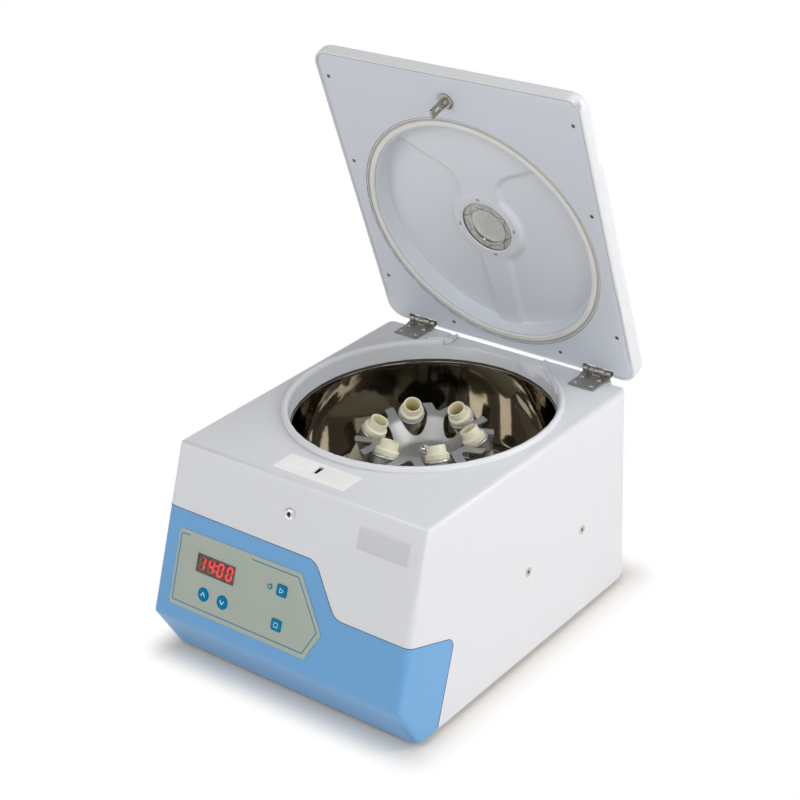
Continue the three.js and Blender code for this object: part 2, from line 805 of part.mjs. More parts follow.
addPiece(housing, 'power_board', join(
  block(
    powerBoardX - powerBoardWidth / 2, powerBoardX + powerBoardWidth / 2,
    powerBoardY - powerBoardDepth / 2, powerBoardY + powerBoardDepth / 2, powerBoardHeight, powerBoardTop,
  ),
  block(
    transformerX - transformerWidth / 2, transformerX + transformerWidth / 2,
    powerBoardY - transformerDepth / 2, powerBoardY + transformerDepth / 2,
    powerBoardHeight, powerBoardTop + transformerHeight,
  ),
  ...[1, 2].map((place) => rod(
    capacitorRadius, powerBoardHeight, powerBoardTop + capacitorHeight, smallSegments,
    powerBoardX + place * capacitorSpacing, powerBoardY,
  )),
), boardGreen);

// Power inlet: a three-pin socket and a well for the rocker
const pinWidth = 2;
const pinHeight = 6;
const pinSpacing = 7;
const pinLength = 12;
const inletFace = caseDepth + seatGap + inletFlange;

function powerInlet() {
  const socketX = inletX + socketFromCentre;
  const socketFloor = inletFace - socketDepth;
  const switchX = inletX - switchFromCentre;
  const body = block(
    inletX - inletWidth / 2, inletX + inletWidth / 2, inletFace - inletDepth, inletFace,
    inletZ - inletHeight / 2, inletZ + inletHeight / 2,
  );
  const flange = block(
    inletX - inletWidth / 2 - inletMargin, inletX + inletWidth / 2 + inletMargin,
    caseDepth + seatGap, inletFace,
    inletZ - inletHeight / 2 - inletMargin, inletZ + inletHeight / 2 + inletMargin,
  );
  const socket = block(
    socketX - socketWidth / 2, socketX + socketWidth / 2, socketFloor, inletFace + overrun,
    inletZ - socketHeight / 2, inletZ + socketHeight / 2,
  );
  const well = block(
    switchX - switchWidth / 2 - runningGap, switchX + switchWidth / 2 + runningGap,
    inletFace - switchDepth, inletFace + overrun,
    inletZ - switchHeight / 2 - runningGap, inletZ + switchHeight / 2 + runningGap,
  );
  const pins = [-1, 0, 1].map((place) => block(
    socketX + place * pinSpacing - pinWidth / 2, socketX + place * pinSpacing + pinWidth / 2,
    socketFloor - pinWidth, socketFloor + pinLength,
    inletZ - pinHeight / 2, inletZ + pinHeight / 2,
  ));
  return join(cut(join(body, flange), socket, well), ...pins);
}

addPiece(housing, 'power_inlet', powerInlet(), darkPlastic);

// Rocker round its pivot, with a shallow vee on the face
const rockerThickness = 7;
const rockerVee = 1.4;
const rockerTiltDegrees = 9;
const rockerReach = switchHeight / 2 - runningGap;
const rocker = new THREE.Group();
rocker.position.set(inletX - switchFromCentre, inletFace - rockerThickness / 2, inletZ);
rocker.rotation.x = THREE.MathUtils.degToRad(-rockerTiltDegrees);
housing.add(rocker);
addPiece(rocker, 'power_switch', prism(sideFrame, roundedOutline([
  [-rockerThickness / 2, -rockerReach / 2],
  [rockerThickness / 2, -rockerReach],
  [rockerThickness / 2 - rockerVee, 0],
  [rockerThickness / 2, rockerReach],
  [-rockerThickness / 2, rockerReach / 2],
]), -switchWidth / 2, switchWidth / 2), darkPlastic);

// Lock: a solenoid under the deck and a bolt that slides through the strike
const boltRadius = 3;
const tongueWidth = 4;
const tongueHeight = 4.6;
const tongueLength = 6;
const tongueRoot = 0.5;
const boltRestTip = 3.5;
const boltDrop = 9;
const boltZ = deckHeight - boltDrop;
const solenoidLeft = 8.5;
const solenoidRight = 38.5;
const solenoidDepth = 24;
const solenoidDrop = 10;
addPiece(housing, 'lock_solenoid', cut(
  block(
    solenoidLeft, solenoidRight, strikeY - solenoidDepth / 2, strikeY + solenoidDepth / 2,
    boltZ - solenoidDrop, deckUnderside - seatGap,
  ),
  bar(sideFrame, strikeY, boltZ, boltRadius + runningGap, 0, solenoidRight + overrun),
), brushedSteel);
addPiece(housing, 'lock_bolt', join(
  block(
    boltRestTip, boltRestTip + tongueLength, strikeY - tongueWidth / 2, strikeY + tongueWidth / 2,
    boltZ - tongueHeight / 2, boltZ + tongueHeight / 2,
  ),
  bar(sideFrame, strikeY, boltZ, boltRadius, boltRestTip + tongueLength - tongueRoot, solenoidRight),
), brushedSteel);

// Rotor: the shaft with its hub, the six-arm disc and the domed nut
const hubRadius = 14;
const hubDrop = 34.8;
const hubBottom = pivotHeight - hubDrop;
const discSheet = 2.5;
const plateDrop = 17.6;
const plateTop = pivotHeight - plateDrop;
const plateRadius = 32;
const coneRadius = 49;
const flangeRise = 7.4;
const flangeTop = pivotHeight + flangeRise;
const rimRadius = 75;
const studRadius = 4;
const studRise = 7.8;
const studTop = plateTop + studRise;
const slotHalfWidth = 16.3;
const slotBottomRadius = 35.3;
const valleyRadius = 54;
const valleyHalfWidth = 11.7;
const valleyBend = 4;
const earInner = 16.2;
const earSheet = 2.5;
const earDrop = 19.8;
const earFoot = pivotHeight - earDrop;
const earLeftAt = 54;
const earRightAt = 73;
const earFootHalfWidth = 6;
const earBend = 4;
const pinRadius = 2;
const placeDegrees = 360 / placeCount;
const placeAngles = Array.from({ length: placeCount }, (_, place) => (
  THREE.MathUtils.degToRad(firstPlaceDegrees + placeDegrees * place)
));

const spinGroup = new THREE.Group();
spinGroup.position.set(0, spinAxisY, 0);
housing.add(spinGroup);

addPiece(spinGroup, 'drive_shaft', revolve([
  [0, shaftBottom],
  [shaftRadius, shaftBottom],
  [shaftRadius, hubBottom],
  [hubRadius, hubBottom],
  [hubRadius, plateTop - discSheet - seatGap],
  [studRadius, plateTop - discSheet - seatGap],
  [studRadius, studTop],
  [0, studTop],
], smallSegments), brushedSteel);

function outwardAt(angle) {
  return new THREE.Vector3(Math.cos(angle), Math.sin(angle), 0);
}

function flatFrame(angle) {
  return { right: outwardAt(angle), up: outwardAt(angle + Math.PI / 2), out: axisZ, origin: originPoint };
}

function standingFrame(angle) {
  return { right: outwardAt(angle), up: axisZ, out: outwardAt(angle - Math.PI / 2), origin: originPoint };
}

// One ear, drawn in [radius, height], with its pivot hole
function ear(angle, from) {
  const frame = standingFrame(angle);
  const plate = prism(frame, roundedOutline([
    [earLeftAt, flangeTop],
    [earLeftAt, pivotHeight, earBend],
    [pivotRadius - earFootHalfWidth, earFoot, earBend],
    [pivotRadius + earFootHalfWidth, earFoot, earBend],
    [earRightAt - earBend / 2, pivotHeight, earBend],
    [earRightAt, flangeTop],
  ], 1), from, from + earSheet);
  return cut(plate, bar(
    frame, pivotRadius, pivotHeight, pinRadius + runningGap, from - overrun, from + earSheet + overrun, tinySegments,
  ));
}

function rotorDisc() {
  const sheet = revolve([
    [studRadius + seatGap, plateTop - discSheet],
    [plateRadius, plateTop - discSheet],
    [coneRadius, flangeTop - discSheet],
    [rimRadius, flangeTop - discSheet],
    [rimRadius, flangeTop],
    [coneRadius - discSheet / 2, flangeTop],
    [plateRadius - discSheet / 2, plateTop],
    [studRadius + seatGap, plateTop],
  ], mediumSegments);
  const far = rimRadius + overrun;
  const widening = (valleyHalfWidth * (far - valleyRadius)) / (rimRadius - valleyRadius);
  const cuts = placeAngles.flatMap((angle) => {
    const slot = roundedOutline(rectangle(slotBottomRadius + slotHalfWidth, far, -slotHalfWidth, slotHalfWidth));
    return [
      prism(flatFrame(angle), slot, earFoot - overrun, flangeTop + overrun),
      bar(flatFrame(angle), slotBottomRadius + slotHalfWidth, 0, slotHalfWidth,
        earFoot - overrun, flangeTop + overrun, smallSegments),
    ];
  });
  const ears = placeAngles.flatMap((angle) => [ear(angle, earInner), ear(angle, -earInner - earSheet)]);
  const valleys = placeAngles.map((angle) => prism(flatFrame(angle + Math.PI / placeCount), roundedOutline([
    [valleyRadius, 0, valleyBend],
    [far, -widening],
    [far, widening],
  ]), earFoot - overrun, flangeTop + overrun));
  return join(cut(sheet, ...cuts, ...valleys), ...ears);
}

addPiece(spinGroup, 'rotor_disc', rotorDisc(), aluminium);

const nutAcrossCorners = 15;
const nutHexRise = 6.8;
const nutHexTop = plateTop + nutHexRise;
const nutDomeRadius = 6;
const nutRise = 12.8;
const nutTop = plateTop + nutRise;
const nutBottom = plateTop + seatGap;
const nutBoreTop = studTop + seatGap;
addPiece(spinGroup, 'rotor_nut', cut(
  join(
    bar(planFrame, 0, 0, nutAcrossCorners / 2, nutBottom, nutHexTop, 6),
    revolve([
      [0, nutBottom],
      [nutDomeRadius, nutBottom],
      ...arcPoints(0, nutHexTop, nutDomeRadius, nutTop - nutHexTop, 0, 90, arcSteps).slice(0, -1),
      [0, nutTop],
    ], smallSegments),
  ),
  rod(studRadius + seatGap, nutBottom - overrun, nutBoreTop, smallSegments),
), mirrorSteel);

// Six carriers: a ring on two pins and the shield that hangs in it, along the tube's own axis
const shieldBottom = -72;
const shieldFloor = 4;
const shieldBodyRadius = 10.25;
const shieldShoulderRadius = 13;
const shieldShoulderTop = 14;
const shieldNeckRadius = 10;
const shieldTop = 23;
const shieldBend = 4;
const ringBottom = -8;
const ringTop = 7;
const ringLip = 3;
const ringRadius = 13.9;
const ringLipRadius = 14.75;
const ringBore = shieldBodyRadius + seatGap;
const pinReach = 21.5;
const pinHead = 2.2;
const pinHeadRadius = 4;
const ringFrame = { right: axisX, up: axisZ, out: axisY.clone().negate(), origin: originPoint };

function tubeRing() {
  const collar = revolve([
    [ringBore, ringBottom],
    [ringRadius, ringBottom],
    [ringRadius, ringTop - ringLip],
    [ringLipRadius, ringTop - ringLip],
    [ringLipRadius, ringTop],
    [ringBore, ringTop],
  ], carrierSegments);
  const middle = (ringBore + ringRadius) / 2;
  const pins = [[middle, pinReach - pinHead / 2, pinRadius], [pinReach - pinHead, pinReach, pinHeadRadius]];
  return join(collar, ...pins.flatMap(([from, to, radius]) => [
    bar(ringFrame, 0, 0, radius, from, to, pinSegments),
    bar(ringFrame, 0, 0, radius, -to, -from, pinSegments),
  ]));
}

function tubeShield() {
  return revolve([
    [0, shieldBottom],
    [shieldBodyRadius - shieldBend, shieldBottom],
    [shieldBodyRadius, shieldBottom + shieldBend],
    [shieldBodyRadius, ringTop + seatGap],
    [shieldShoulderRadius, ringTop + seatGap],
    [shieldShoulderRadius, shieldShoulderTop - shieldBend / 2],
    [shieldNeckRadius, shieldShoulderTop],
    [shieldNeckRadius, shieldTop],
    [tubeBoreRadius, shieldTop],
    [tubeBoreRadius, shieldBottom + shieldFloor],
    [0, shieldBottom + shieldFloor],
  ], carrierSegments);
}

placeAngles.forEach((angle, place) => {
  const direction = new THREE.Group();
  direction.rotation.z = angle;
  const tilt = new THREE.Group();
  tilt.position.set(pivotRadius, 0, pivotHeight);
  tilt.rotation.y = -THREE.MathUtils.degToRad(tiltDegrees);
  direction.add(tilt);
  spinGroup.add(direction);
  addPiece(tilt, `tube_ring_${place + 1}`, tubeRing(), aluminium);
  addPiece(tilt, `tube_shield_${place + 1}`, tubeShield(), creamPlastic);
});

// Lid, drawn closed round the hinge axis: it runs toward -Y and its inner face looks down
const lid = new THREE.Group();
lid.position.set(0, hingeAxisY, hingeAxisZ);
lid.rotation.x = -openAngle;
housing.add(lid);
const lidY = (fromHingeEdge) => hingeInset - fromHingeEdge;
const lidZ = (aboveFace) => lidFaceRise + aboveFace;
const lidCornerRadius = 17;
const lidEdgeRadius = 8;
const lidWall = 3;
const lidTopWall = 1.8;
const dishFromHinge = 161.1;
const dishY = lidY(dishFromHinge);
const gasketSideRoom = 18.2;
const gasketWidth = 10;
const gasketOuter = lidHalfWidth - gasketSideRoom;
const gasketInner = gasketOuter - gasketWidth;
const dishRimInset = 2;
const dishRim = gasketInner - dishRimInset;
const plateauInset = 11.1;
const plateauLength = dishFromHinge + dishRim - plateauInset;
const innerPanelThickness = 2;
const linerBack = innerPanelThickness + seatGap;

// Slab with its upper edge rounded all round, from the hinge edge to a given length
function lidSlab(length, thickness, inset) {
  const corners = rectangle(
    inset - lidHalfWidth, lidHalfWidth - inset, lidY(length - inset), lidY(inset), lidCornerRadius - inset,
  );
  const edge = lidEdgeRadius - inset;
  const geometry = new THREE.ExtrudeGeometry(new THREE.Shape(roundedOutline(corners)), {
    depth: thickness, bevelThickness: edge, bevelSize: edge, bevelOffset: -edge, bevelSegments: arcSteps,
  });
  geometry.translate(0, 0, lidZ(0) - edge);
  return solidFrom(geometry);
}

// Places on the lid
const gasketProud = 0.3;
const hingeX = 119.5;
const notchHalfWidth = 19.4;
const notchDepth = 9.2;
const notchHeight = 8.5;
const lidScrewX = 154;
const lidScrewPlaces = [62, 224.5, 335];
const bossRadius = 4;
const windowNeckRadius = 21.7;
const belowLid = block(
  -lidHalfWidth - overrun, lidHalfWidth + overrun, lidY(lidLength + overrun), lidY(-overrun),
  lidZ(-plateauThickness), lidZ(0),
);
const hingeSides = [['left', -hingeX], ['right', hingeX]];
const hingeNotches = join(...hingeSides.map(([, x]) => block(
  x - notchHalfWidth, x + notchHalfWidth, lidY(notchDepth), lidY(-overrun), lidZ(-overrun), lidZ(notchHeight),
)));

function lidShell() {
  const outside = cut(join(
    lidSlab(lidLength, lidThickness, 0), lidSlab(plateauLength, plateauThickness, 0),
  ), belowLid);
  const inside = join(
    lidSlab(lidLength, lidThickness - lidTopWall, lidWall),
    lidSlab(plateauLength, plateauThickness - lidTopWall, lidWall),
  );
  const bosses = lidScrewPlaces.flatMap((place) => {
    const thickness = place < plateauLength ? plateauThickness : lidThickness;
    return [-lidScrewX, lidScrewX].map((x) => rod(
      bossRadius, lidZ(linerBack), lidZ(thickness - lidTopWall / 2), tinySegments, x, lidY(place),
    ));
  });
  return cut(
    join(cut(outside, inside), ...bosses),
    hingeNotches,
    rod(windowNeckRadius + seatGap, lidZ(0), lidZ(plateauThickness + overrun), mediumSegments, 0, dishY),
  );
}

addPiece(lid, 'lid_shell', lidShell(), whitePaint);

// Flat inner panel, let into the rim of the shell
const strikeStemRadius = 2.5;
const panelInset = lidWall + seatGap;
addPiece(lid, 'lid_panel', cut(
  prism(planFrame, roundedOutline(rectangle(
    panelInset - lidHalfWidth, lidHalfWidth - panelInset,
    lidY(lidLength - panelInset), lidY(panelInset), lidCornerRadius - panelInset,
  )), lidZ(0), lidZ(innerPanelThickness)),
  rod(gasketOuter + seatGap, lidZ(-overrun), lidZ(overrun), largeSegments, 0, dishY),
  rod(strikeStemRadius + seatGap, lidZ(-overrun), lidZ(overrun), smallSegments, 0, lidY(strikeFromHinge)),
  hingeNotches,
), whitePaint);

// Dished liner with a raised hub, a spoke toward the hinge and a fan toward the free edge
const linerFlangeWidth = 15;
const linerFlange = dishRim + linerFlangeWidth;
const dishWallRun = 15;
const dishWallRadius = dishRim - dishWallRun;
const dishWallHeight = 14.5;
const dishBendRun = 7;
const dishBendRadius = dishWallRadius - dishBendRun;
const dishBendHeight = 17.2;
const dishFloorRadius = dishBendRadius - dishBendRun;
const dishFloor = 18.6;
const linerSheet = 1.3;
const reliefRise = 2.4;
const hubFaceRadius = 44;
const spokeHalfHub = 20;
const spokeHalfEnd = 15;
const fanNeck = 25.5;
const fanBendAt = 65.5;
const fanBendRadius = 25;
const fanSideInset = 19;
const fanSide = dishRim - fanSideInset;
const fanSideAtInset = 27;
const fanSideAt = dishRim - fanSideAtInset;
const glassRadius = 28;
const glassSeat = 0.3;
const dishFrame = {
  right: axisX, up: axisY.clone().negate(), out: axisZ.clone().negate(), origin: new THREE.Vector3(0, dishY, 0),
};

function lidLiner() {
  const reliefFace = dishFloor - reliefRise;
  const dish = revolve([
    [linerFlange, lidZ(linerBack)],
    [linerFlange, lidZ(linerBack + linerSheet)],
    [dishRim + linerSheet, lidZ(linerBack + linerSheet)],
    [dishWallRadius + linerSheet, lidZ(dishWallHeight + linerSheet)],
    [dishBendRadius + linerSheet, lidZ(dishBendHeight + linerSheet)],
    [dishFloorRadius, lidZ(dishFloor + linerSheet)],
    [0, lidZ(dishFloor + linerSheet)],
    [0, lidZ(dishFloor)],
    [dishFloorRadius, lidZ(dishFloor)],
    [dishBendRadius, lidZ(dishBendHeight)],
    [dishWallRadius, lidZ(dishWallHeight)],
    [dishRim, lidZ(linerBack)],
  ], largeSegments, 0, dishY);
  const layer = revolve([
    [0, lidZ(reliefFace)],
    [dishBendRadius + reliefRise, lidZ(reliefFace)],
    [dishBendRadius, lidZ(dishBendHeight + linerSheet / 2)],
    [0, lidZ(dishFloor + linerSheet / 2)],
  ], largeSegments, 0, dishY);
  const through = [-lidZ(plateauThickness), -lidZ(0)];
  const relief = join(
    bar(dishFrame, 0, 0, hubFaceRadius, ...through, mediumSegments),
    prism(dishFrame, roundedOutline([
      [-spokeHalfEnd, -dishRim],
      [spokeHalfEnd, -dishRim],
      [spokeHalfHub, 0],
      [-spokeHalfHub, 0],
    ]), ...through),
    prism(dishFrame, roundedOutline([
      [-fanNeck, 0],
      [fanNeck, 0],
      [fanNeck, fanBendAt, fanBendRadius],
      [fanSide, fanSideAt],
      [fanSide, dishRim],
      [-fanSide, dishRim],
      [-fanSide, fanSideAt],
      [-fanNeck, fanBendAt, fanBendRadius],
    ]), ...through),
  );
  return cut(
    join(dish, common(relief, layer)),
    rod(glassRadius + glassSeat, lidZ(0), lidZ(plateauThickness), mediumSegments, 0, dishY),
  );
}

addPiece(lid, 'lid_liner', lidLiner(), whitePaint);
addPiece(lid, 'lid_gasket', pipe(
  gasketInner, gasketOuter, lidZ(-gasketProud), lidZ(innerPanelThickness), largeSegments, 0, dishY,
), greyRubber);

// View window: a clear stepped plug held by a ring with its lip over the edge
const bezelOuter = 41;
const bezelLip = 1.2;
const bezelThickness = 0.8;
const reliefFaceZ = dishFloor - reliefRise;
const glassFace = reliefFaceZ + glassSeat;
const glassShoulder = plateauThickness - lidTopWall - seatGap;
addPiece(lid, 'view_window', revolve([
  [0, lidZ(glassFace)],
  [glassRadius, lidZ(glassFace)],
  [glassRadius, lidZ(glassShoulder)],
  [windowNeckRadius, lidZ(glassShoulder)],
  [windowNeckRadius, lidZ(plateauThickness)],
  [0, lidZ(plateauThickness)],
], mediumSegments, 0, dishY), clearPlastic);
addPiece(lid, 'window_bezel', pipe(
  glassRadius - bezelLip, bezelOuter,
  lidZ(reliefFaceZ - seatGap - bezelThickness), lidZ(reliefFaceZ - seatGap), mediumSegments, 0, dishY,
), whitePaint);

// Latch strike: a plate with a window for the bolt, on a hexagonal stud with a washer
const washerRadius = 9.3;
const washerThickness = 2.2;
const studAcrossCorners = 8.4;
const studLength = 3.9;
const strikeLength = 26;
const strikeWindowWidth = 5;
const strikeWindowNear = 12;
const strikeWindowFar = 20;
const strikeNutRadius = 5;
const strikeNutThickness = 3;
const strikeFoot = washerThickness + studLength + seatGap;

function latchStrike() {
  const y = lidY(strikeFromHinge);
  const plate = block(
    -strikeThickness / 2, strikeThickness / 2, y - strikeWidth / 2, y + strikeWidth / 2,
    lidZ(-strikeLength), lidZ(-washerThickness),
  );
  const opening = block(
    -strikeThickness, strikeThickness, y - strikeWindowWidth / 2, y + strikeWindowWidth / 2,
    lidZ(-strikeWindowFar), lidZ(-strikeWindowNear),
  );
  const nutFoot = innerPanelThickness + seatGap;
  return join(
    cut(plate, opening),
    rod(washerRadius, lidZ(-washerThickness - seatGap), lidZ(-seatGap), mediumSegments, 0, y),
    rod(studAcrossCorners / 2, lidZ(-strikeFoot), lidZ(-washerThickness), 6, 0, y),
    rod(strikeStemRadius, lidZ(-washerThickness), lidZ(nutFoot + strikeNutThickness), tinySegments, 0, y),
    rod(strikeNutRadius, lidZ(nutFoot), lidZ(nutFoot + strikeNutThickness), 6, 0, y),
  );
}

addPiece(lid, 'latch_strike', latchStrike(), brushedSteel);

// Hinges: a deck leaf with two end knuckles, a lid leaf with the middle knuckle, a pin and a spring
const leafWidth = 32;
const leafFront = 391;
const leafRear = 417.5;
const leafSheet = 1.5;
const knuckleRadius = 3.6;
const knuckleBore = 1.8;
const hingePinRadius = 1.5;
const hingePinHeadRadius = 2.5;
const hingePinHead = 0.9;
const barrelHalfLength = 17.5;
const endKnuckleLength = 6;
const middleKnuckleLength = 8;
const lidLeafLength = 32;
const lidLeafFoot = linerBack;
const leafBottom = deckHeight + seatGap;
const knuckleHole = bar(
  sideFrame, hingeAxisY, hingeAxisZ, knuckleBore, -caseWidth / 2, caseWidth / 2, tinySegments,
);
const lidKnuckleHole = bar(sideFrame, 0, 0, knuckleBore, -caseWidth / 2, caseWidth / 2, tinySegments);

function deckLeaf(x) {
  const arm = roundedOutline([
    [leafRear - leafSheet, leafBottom],
    [leafRear, leafBottom],
    [hingeAxisY, hingeAxisZ - knuckleRadius],
    [hingeAxisY, hingeAxisZ - knuckleRadius + leafSheet],
    [leafRear, leafBottom + leafSheet],
    [leafRear - leafSheet, leafBottom + leafSheet],
  ]);
  const ends = [-barrelHalfLength, barrelHalfLength - endKnuckleLength].flatMap((from) => [
    prism(sideFrame, arm, x + from, x + from + endKnuckleLength),
    bar(sideFrame, hingeAxisY, hingeAxisZ, knuckleRadius, x + from, x + from + endKnuckleLength),
  ]);
  const plate = block(
    x - leafWidth / 2, x + leafWidth / 2, leafFront, leafRear, leafBottom, leafBottom + leafSheet,
  );
  return cut(join(plate, ...ends), knuckleHole);
}

function lidLeaf(x) {
  const half = middleKnuckleLength / 2;
  return cut(join(
    bar(sideFrame, 0, 0, knuckleRadius, x - half, x + half),
    block(
      x - half, x + half, lidY(notchDepth - seatGap), 0,
      lidZ(lidLeafFoot) - leafSheet / 2, lidZ(lidLeafFoot) + leafSheet,
    ),
    block(
      x - leafWidth / 2, x + leafWidth / 2, lidY(notchDepth + lidLeafLength), lidY(notchDepth - leafSheet),
      lidZ(lidLeafFoot), lidZ(lidLeafFoot) + leafSheet,
    ),
  ), lidKnuckleHole);
}

function hingePin(x) {
  const end = barrelHalfLength + seatGap;
  const heads = [[-end - hingePinHead, -end], [end, end + hingePinHead]];
  return join(
    bar(sideFrame, hingeAxisY, hingeAxisZ, hingePinRadius, x - end - hingePinHead / 2, x + end + hingePinHead / 2,
      tinySegments),
    ...heads.map(([from, to]) => (
      bar(sideFrame, hingeAxisY, hingeAxisZ, hingePinHeadRadius, x + from, x + to, tinySegments)
    )),
  );
}

// Double torsion spring: two coils of opposite hand, a bow between them and a leg on the leaf at each end
const wireRadius = 0.45;
const coilRadius = 2.6;
const coilPitch = 1.4;
const coilTurns = 3.75;
const coilStepsPerTurn = 8;
const coilInnerEnd = 4.95;
const bowDrop = 4.6;
const legReach = 12;
const legDrop = 1;
const wireSides = 5;

function springRoute() {
  const steps = Math.round(coilTurns * coilStepsPerTurn);
  const half = [];
  half.push([coilInnerEnd + coilPitch * coilTurns, -legReach, -coilRadius - legDrop]);
  half.push([coilInnerEnd + coilPitch * coilTurns, -wireRadius * wireSides, -coilRadius - wireRadius / 2]);
  for (let step = 0; step <= steps; step += 1) {
    const turned = (2 * Math.PI * step) / coilStepsPerTurn - Math.PI / 2;
    half.push([
      coilInnerEnd + (coilPitch * (steps - step)) / coilStepsPerTurn,
      coilRadius * Math.cos(turned),
      coilRadius * Math.sin(turned),
    ]);
  }
  half.push([coilInnerEnd, -coilRadius, wireRadius * 2 - bowDrop]);
  half.push([coilInnerEnd - wireRadius * 2, -coilRadius, -bowDrop]);
  const mirrored = half.map(([x, y, z]) => [-x, y, z]).reverse();
  return [...half, ...mirrored].map(([x, y, z]) => new THREE.Vector3(x, y, z));
}

// Least clear distance between two parts of the wire that are over half a turn apart
function leastGap(route) {
  let least = Infinity;
  route.forEach((point, index) => {
    for (let other = index + coilStepsPerTurn / 2 + 1; other < route.length; other += 1) {
      least = Math.min(least, point.distanceTo(route[other]) - 2 * wireRadius);
    }
  });
  return least;
}

// One unbroken tube along a route, with flat ends
function wire(route, radius, sides) {
  const positions = [];
  const triangles = [];
  let normal = new THREE.Vector3(1, 0, 0);
  route.forEach((point, index) => {
    const tangent = route[Math.min(index + 1, route.length - 1)].clone()
      .sub(route[Math.max(index - 1, 0)]).normalize();
    normal = normal.clone().addScaledVector(tangent, -normal.dot(tangent)).normalize();
    const binormal = tangent.clone().cross(normal);
    for (let side = 0; side < sides; side += 1) {
      const angle = (2 * Math.PI * side) / sides;
      const rim = point.clone()
        .addScaledVector(normal, radius * Math.cos(angle))
        .addScaledVector(binormal, radius * Math.sin(angle));
      positions.push(rim.x, rim.y, rim.z);
    }
  });
  for (let index = 0; index < route.length - 1; index += 1) {
    for (let side = 0; side < sides; side += 1) {
      const next = (side + 1) % sides;
      const [a, b] = [index * sides + side, index * sides + next];
      triangles.push(a, b, a + sides, b, b + sides, a + sides);
    }
  }
  const last = (route.length - 1) * sides;
  for (let side = 1; side < sides - 1; side += 1) {
    triangles.push(0, side + 1, side, last, last + side, last + side + 1);
  }
  const geometry = new THREE.BufferGeometry();
  geometry.setAttribute('position', new THREE.Float32BufferAttribute(positions, 3));
  geometry.setIndex(triangles);
  return geometry;
}

const route = springRoute();
console.log(`hinge spring: least gap to itself ${leastGap(route).toFixed(3)} mm`);

hingeSides.forEach(([side, x]) => {
  addPiece(housing, `deck_leaf_${side}`, deckLeaf(x), brushedSteel);
  addPiece(lid, `lid_leaf_${side}`, lidLeaf(x), brushedSteel);
  addPiece(housing, `hinge_pin_${side}`, hingePin(x), mirrorSteel);
  const spring = wire(route, wireRadius, wireSides);
  spring.translate(x, hingeAxisY, hingeAxisZ);
  addPiece(housing, `hinge_spring_${side}`, solidFrom(spring), brushedSteel);
});

export default centrifuge;
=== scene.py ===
"""Looks of a benchtop centrifuge with an open lid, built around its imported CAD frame.

Metres, +Z up, the front faces -Y.
"""

import json
import logging
import math
from dataclasses import dataclass
from enum import Enum
from typing import Sequence

import bmesh
import bpy
import numpy as np
from mathutils import Matrix
from mathutils.geometry import delaunay_2d_cdt


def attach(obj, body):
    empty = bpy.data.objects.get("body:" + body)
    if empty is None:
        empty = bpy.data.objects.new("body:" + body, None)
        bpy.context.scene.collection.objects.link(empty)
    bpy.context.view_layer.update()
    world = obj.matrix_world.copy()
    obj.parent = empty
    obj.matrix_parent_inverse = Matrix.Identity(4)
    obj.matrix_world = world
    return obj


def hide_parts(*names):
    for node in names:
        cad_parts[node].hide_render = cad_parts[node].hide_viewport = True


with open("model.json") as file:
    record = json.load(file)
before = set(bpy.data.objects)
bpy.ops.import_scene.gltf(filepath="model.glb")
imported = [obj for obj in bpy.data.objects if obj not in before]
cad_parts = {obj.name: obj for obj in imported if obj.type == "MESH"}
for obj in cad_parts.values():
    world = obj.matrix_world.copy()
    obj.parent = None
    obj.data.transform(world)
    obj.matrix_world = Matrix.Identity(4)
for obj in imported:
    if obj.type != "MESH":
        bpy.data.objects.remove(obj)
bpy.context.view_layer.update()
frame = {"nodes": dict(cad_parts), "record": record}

logging.basicConfig(level=logging.INFO, format="%(message)s")
log = logging.getLogger("centrifuge")

MM = 0.001
REAR_SHIFT = -224.231
FOOT_HEIGHT = 8.0
FOLD_HEIGHT = 53.4
DECK_HEIGHT = 229.8
PANEL_SETBACK = 64.7
CASE_HALF_WIDTH = 165.0
CASE_DEPTH = 422.2
CASE_CORNER = 8.0
SPIN_AXIS_Y = 268.5
LID_ANGLE = 72.2
LID_FOOT = (427.515, 232.341)
DISH_MIDDLE = 161.1
HINGE_AXIS = (425.5, 236.0)
CARRIER_COUNT = 6
FIRST_CARRIER = 21.9
CARRIER_TILT = 29.0
PIVOT_RADIUS = 60.15
PIVOT_HEIGHT = 184.8
TURN = 2 * math.pi
WELD = 2e-6
CLOSE = 1e-7
TINY = 1e-12

Array = np.ndarray
Outline = Array
Vector = tuple[float, float, float]
Colour = Vector
Pair = tuple[float, float]
Box = tuple[float, float, float, float]
Corners = tuple[tuple[float, ...], ...]
Node = bpy.types.Node
Socket = bpy.types.NodeSocket
Material = bpy.types.Material
Object = bpy.types.Object


# Places


@dataclass(frozen=True)
class Place:
    """A local frame of the object: an origin in metres and three unit directions.

    A local point (x, y, z) in millimetres is origin + right x + up y + out z.
    """

    origin: Vector
    right: Vector
    up: Vector
    out: Vector

    def at(self, x: Array, y: Array, z: Array) -> Array:
        """World points in metres of local points in millimetres.

        Args:
            x: Distances along right.
            y: Distances along up.
            z: Distances along out.

        Returns:
            An array of shape (n, 3).
        """
        x, y, z = np.broadcast_arrays(np.asarray(x, float), np.asarray(y, float), np.asarray(z, float))
        local = np.stack([x.ravel(), y.ravel(), z.ravel()], axis=1) * MM
        return np.asarray(self.origin) + local @ np.array([self.right, self.up, self.out])

    def local(self, points: Array) -> Array:
        """Local millimetres of world points in metres, of shape (n, 3)."""
        return (points - np.asarray(self.origin)) @ np.array([self.right, self.up, self.out]).T / MM

    def moved(self, x: float = 0.0, y: float = 0.0, z: float = 0.0) -> "Place":
        """The same directions about another local point, given in millimetres."""
        return Place(tuple(self.at(x, y, z)[0]), self.right, self.up, self.out)


def case_point(x: float, y: float, z: float) -> Vector:
    """A point drawn from the front lower edge of the case, in metres of the shared frame."""
    return (x * MM, (y + REAR_SHIFT) * MM, (z + FOOT_HEIGHT) * MM)


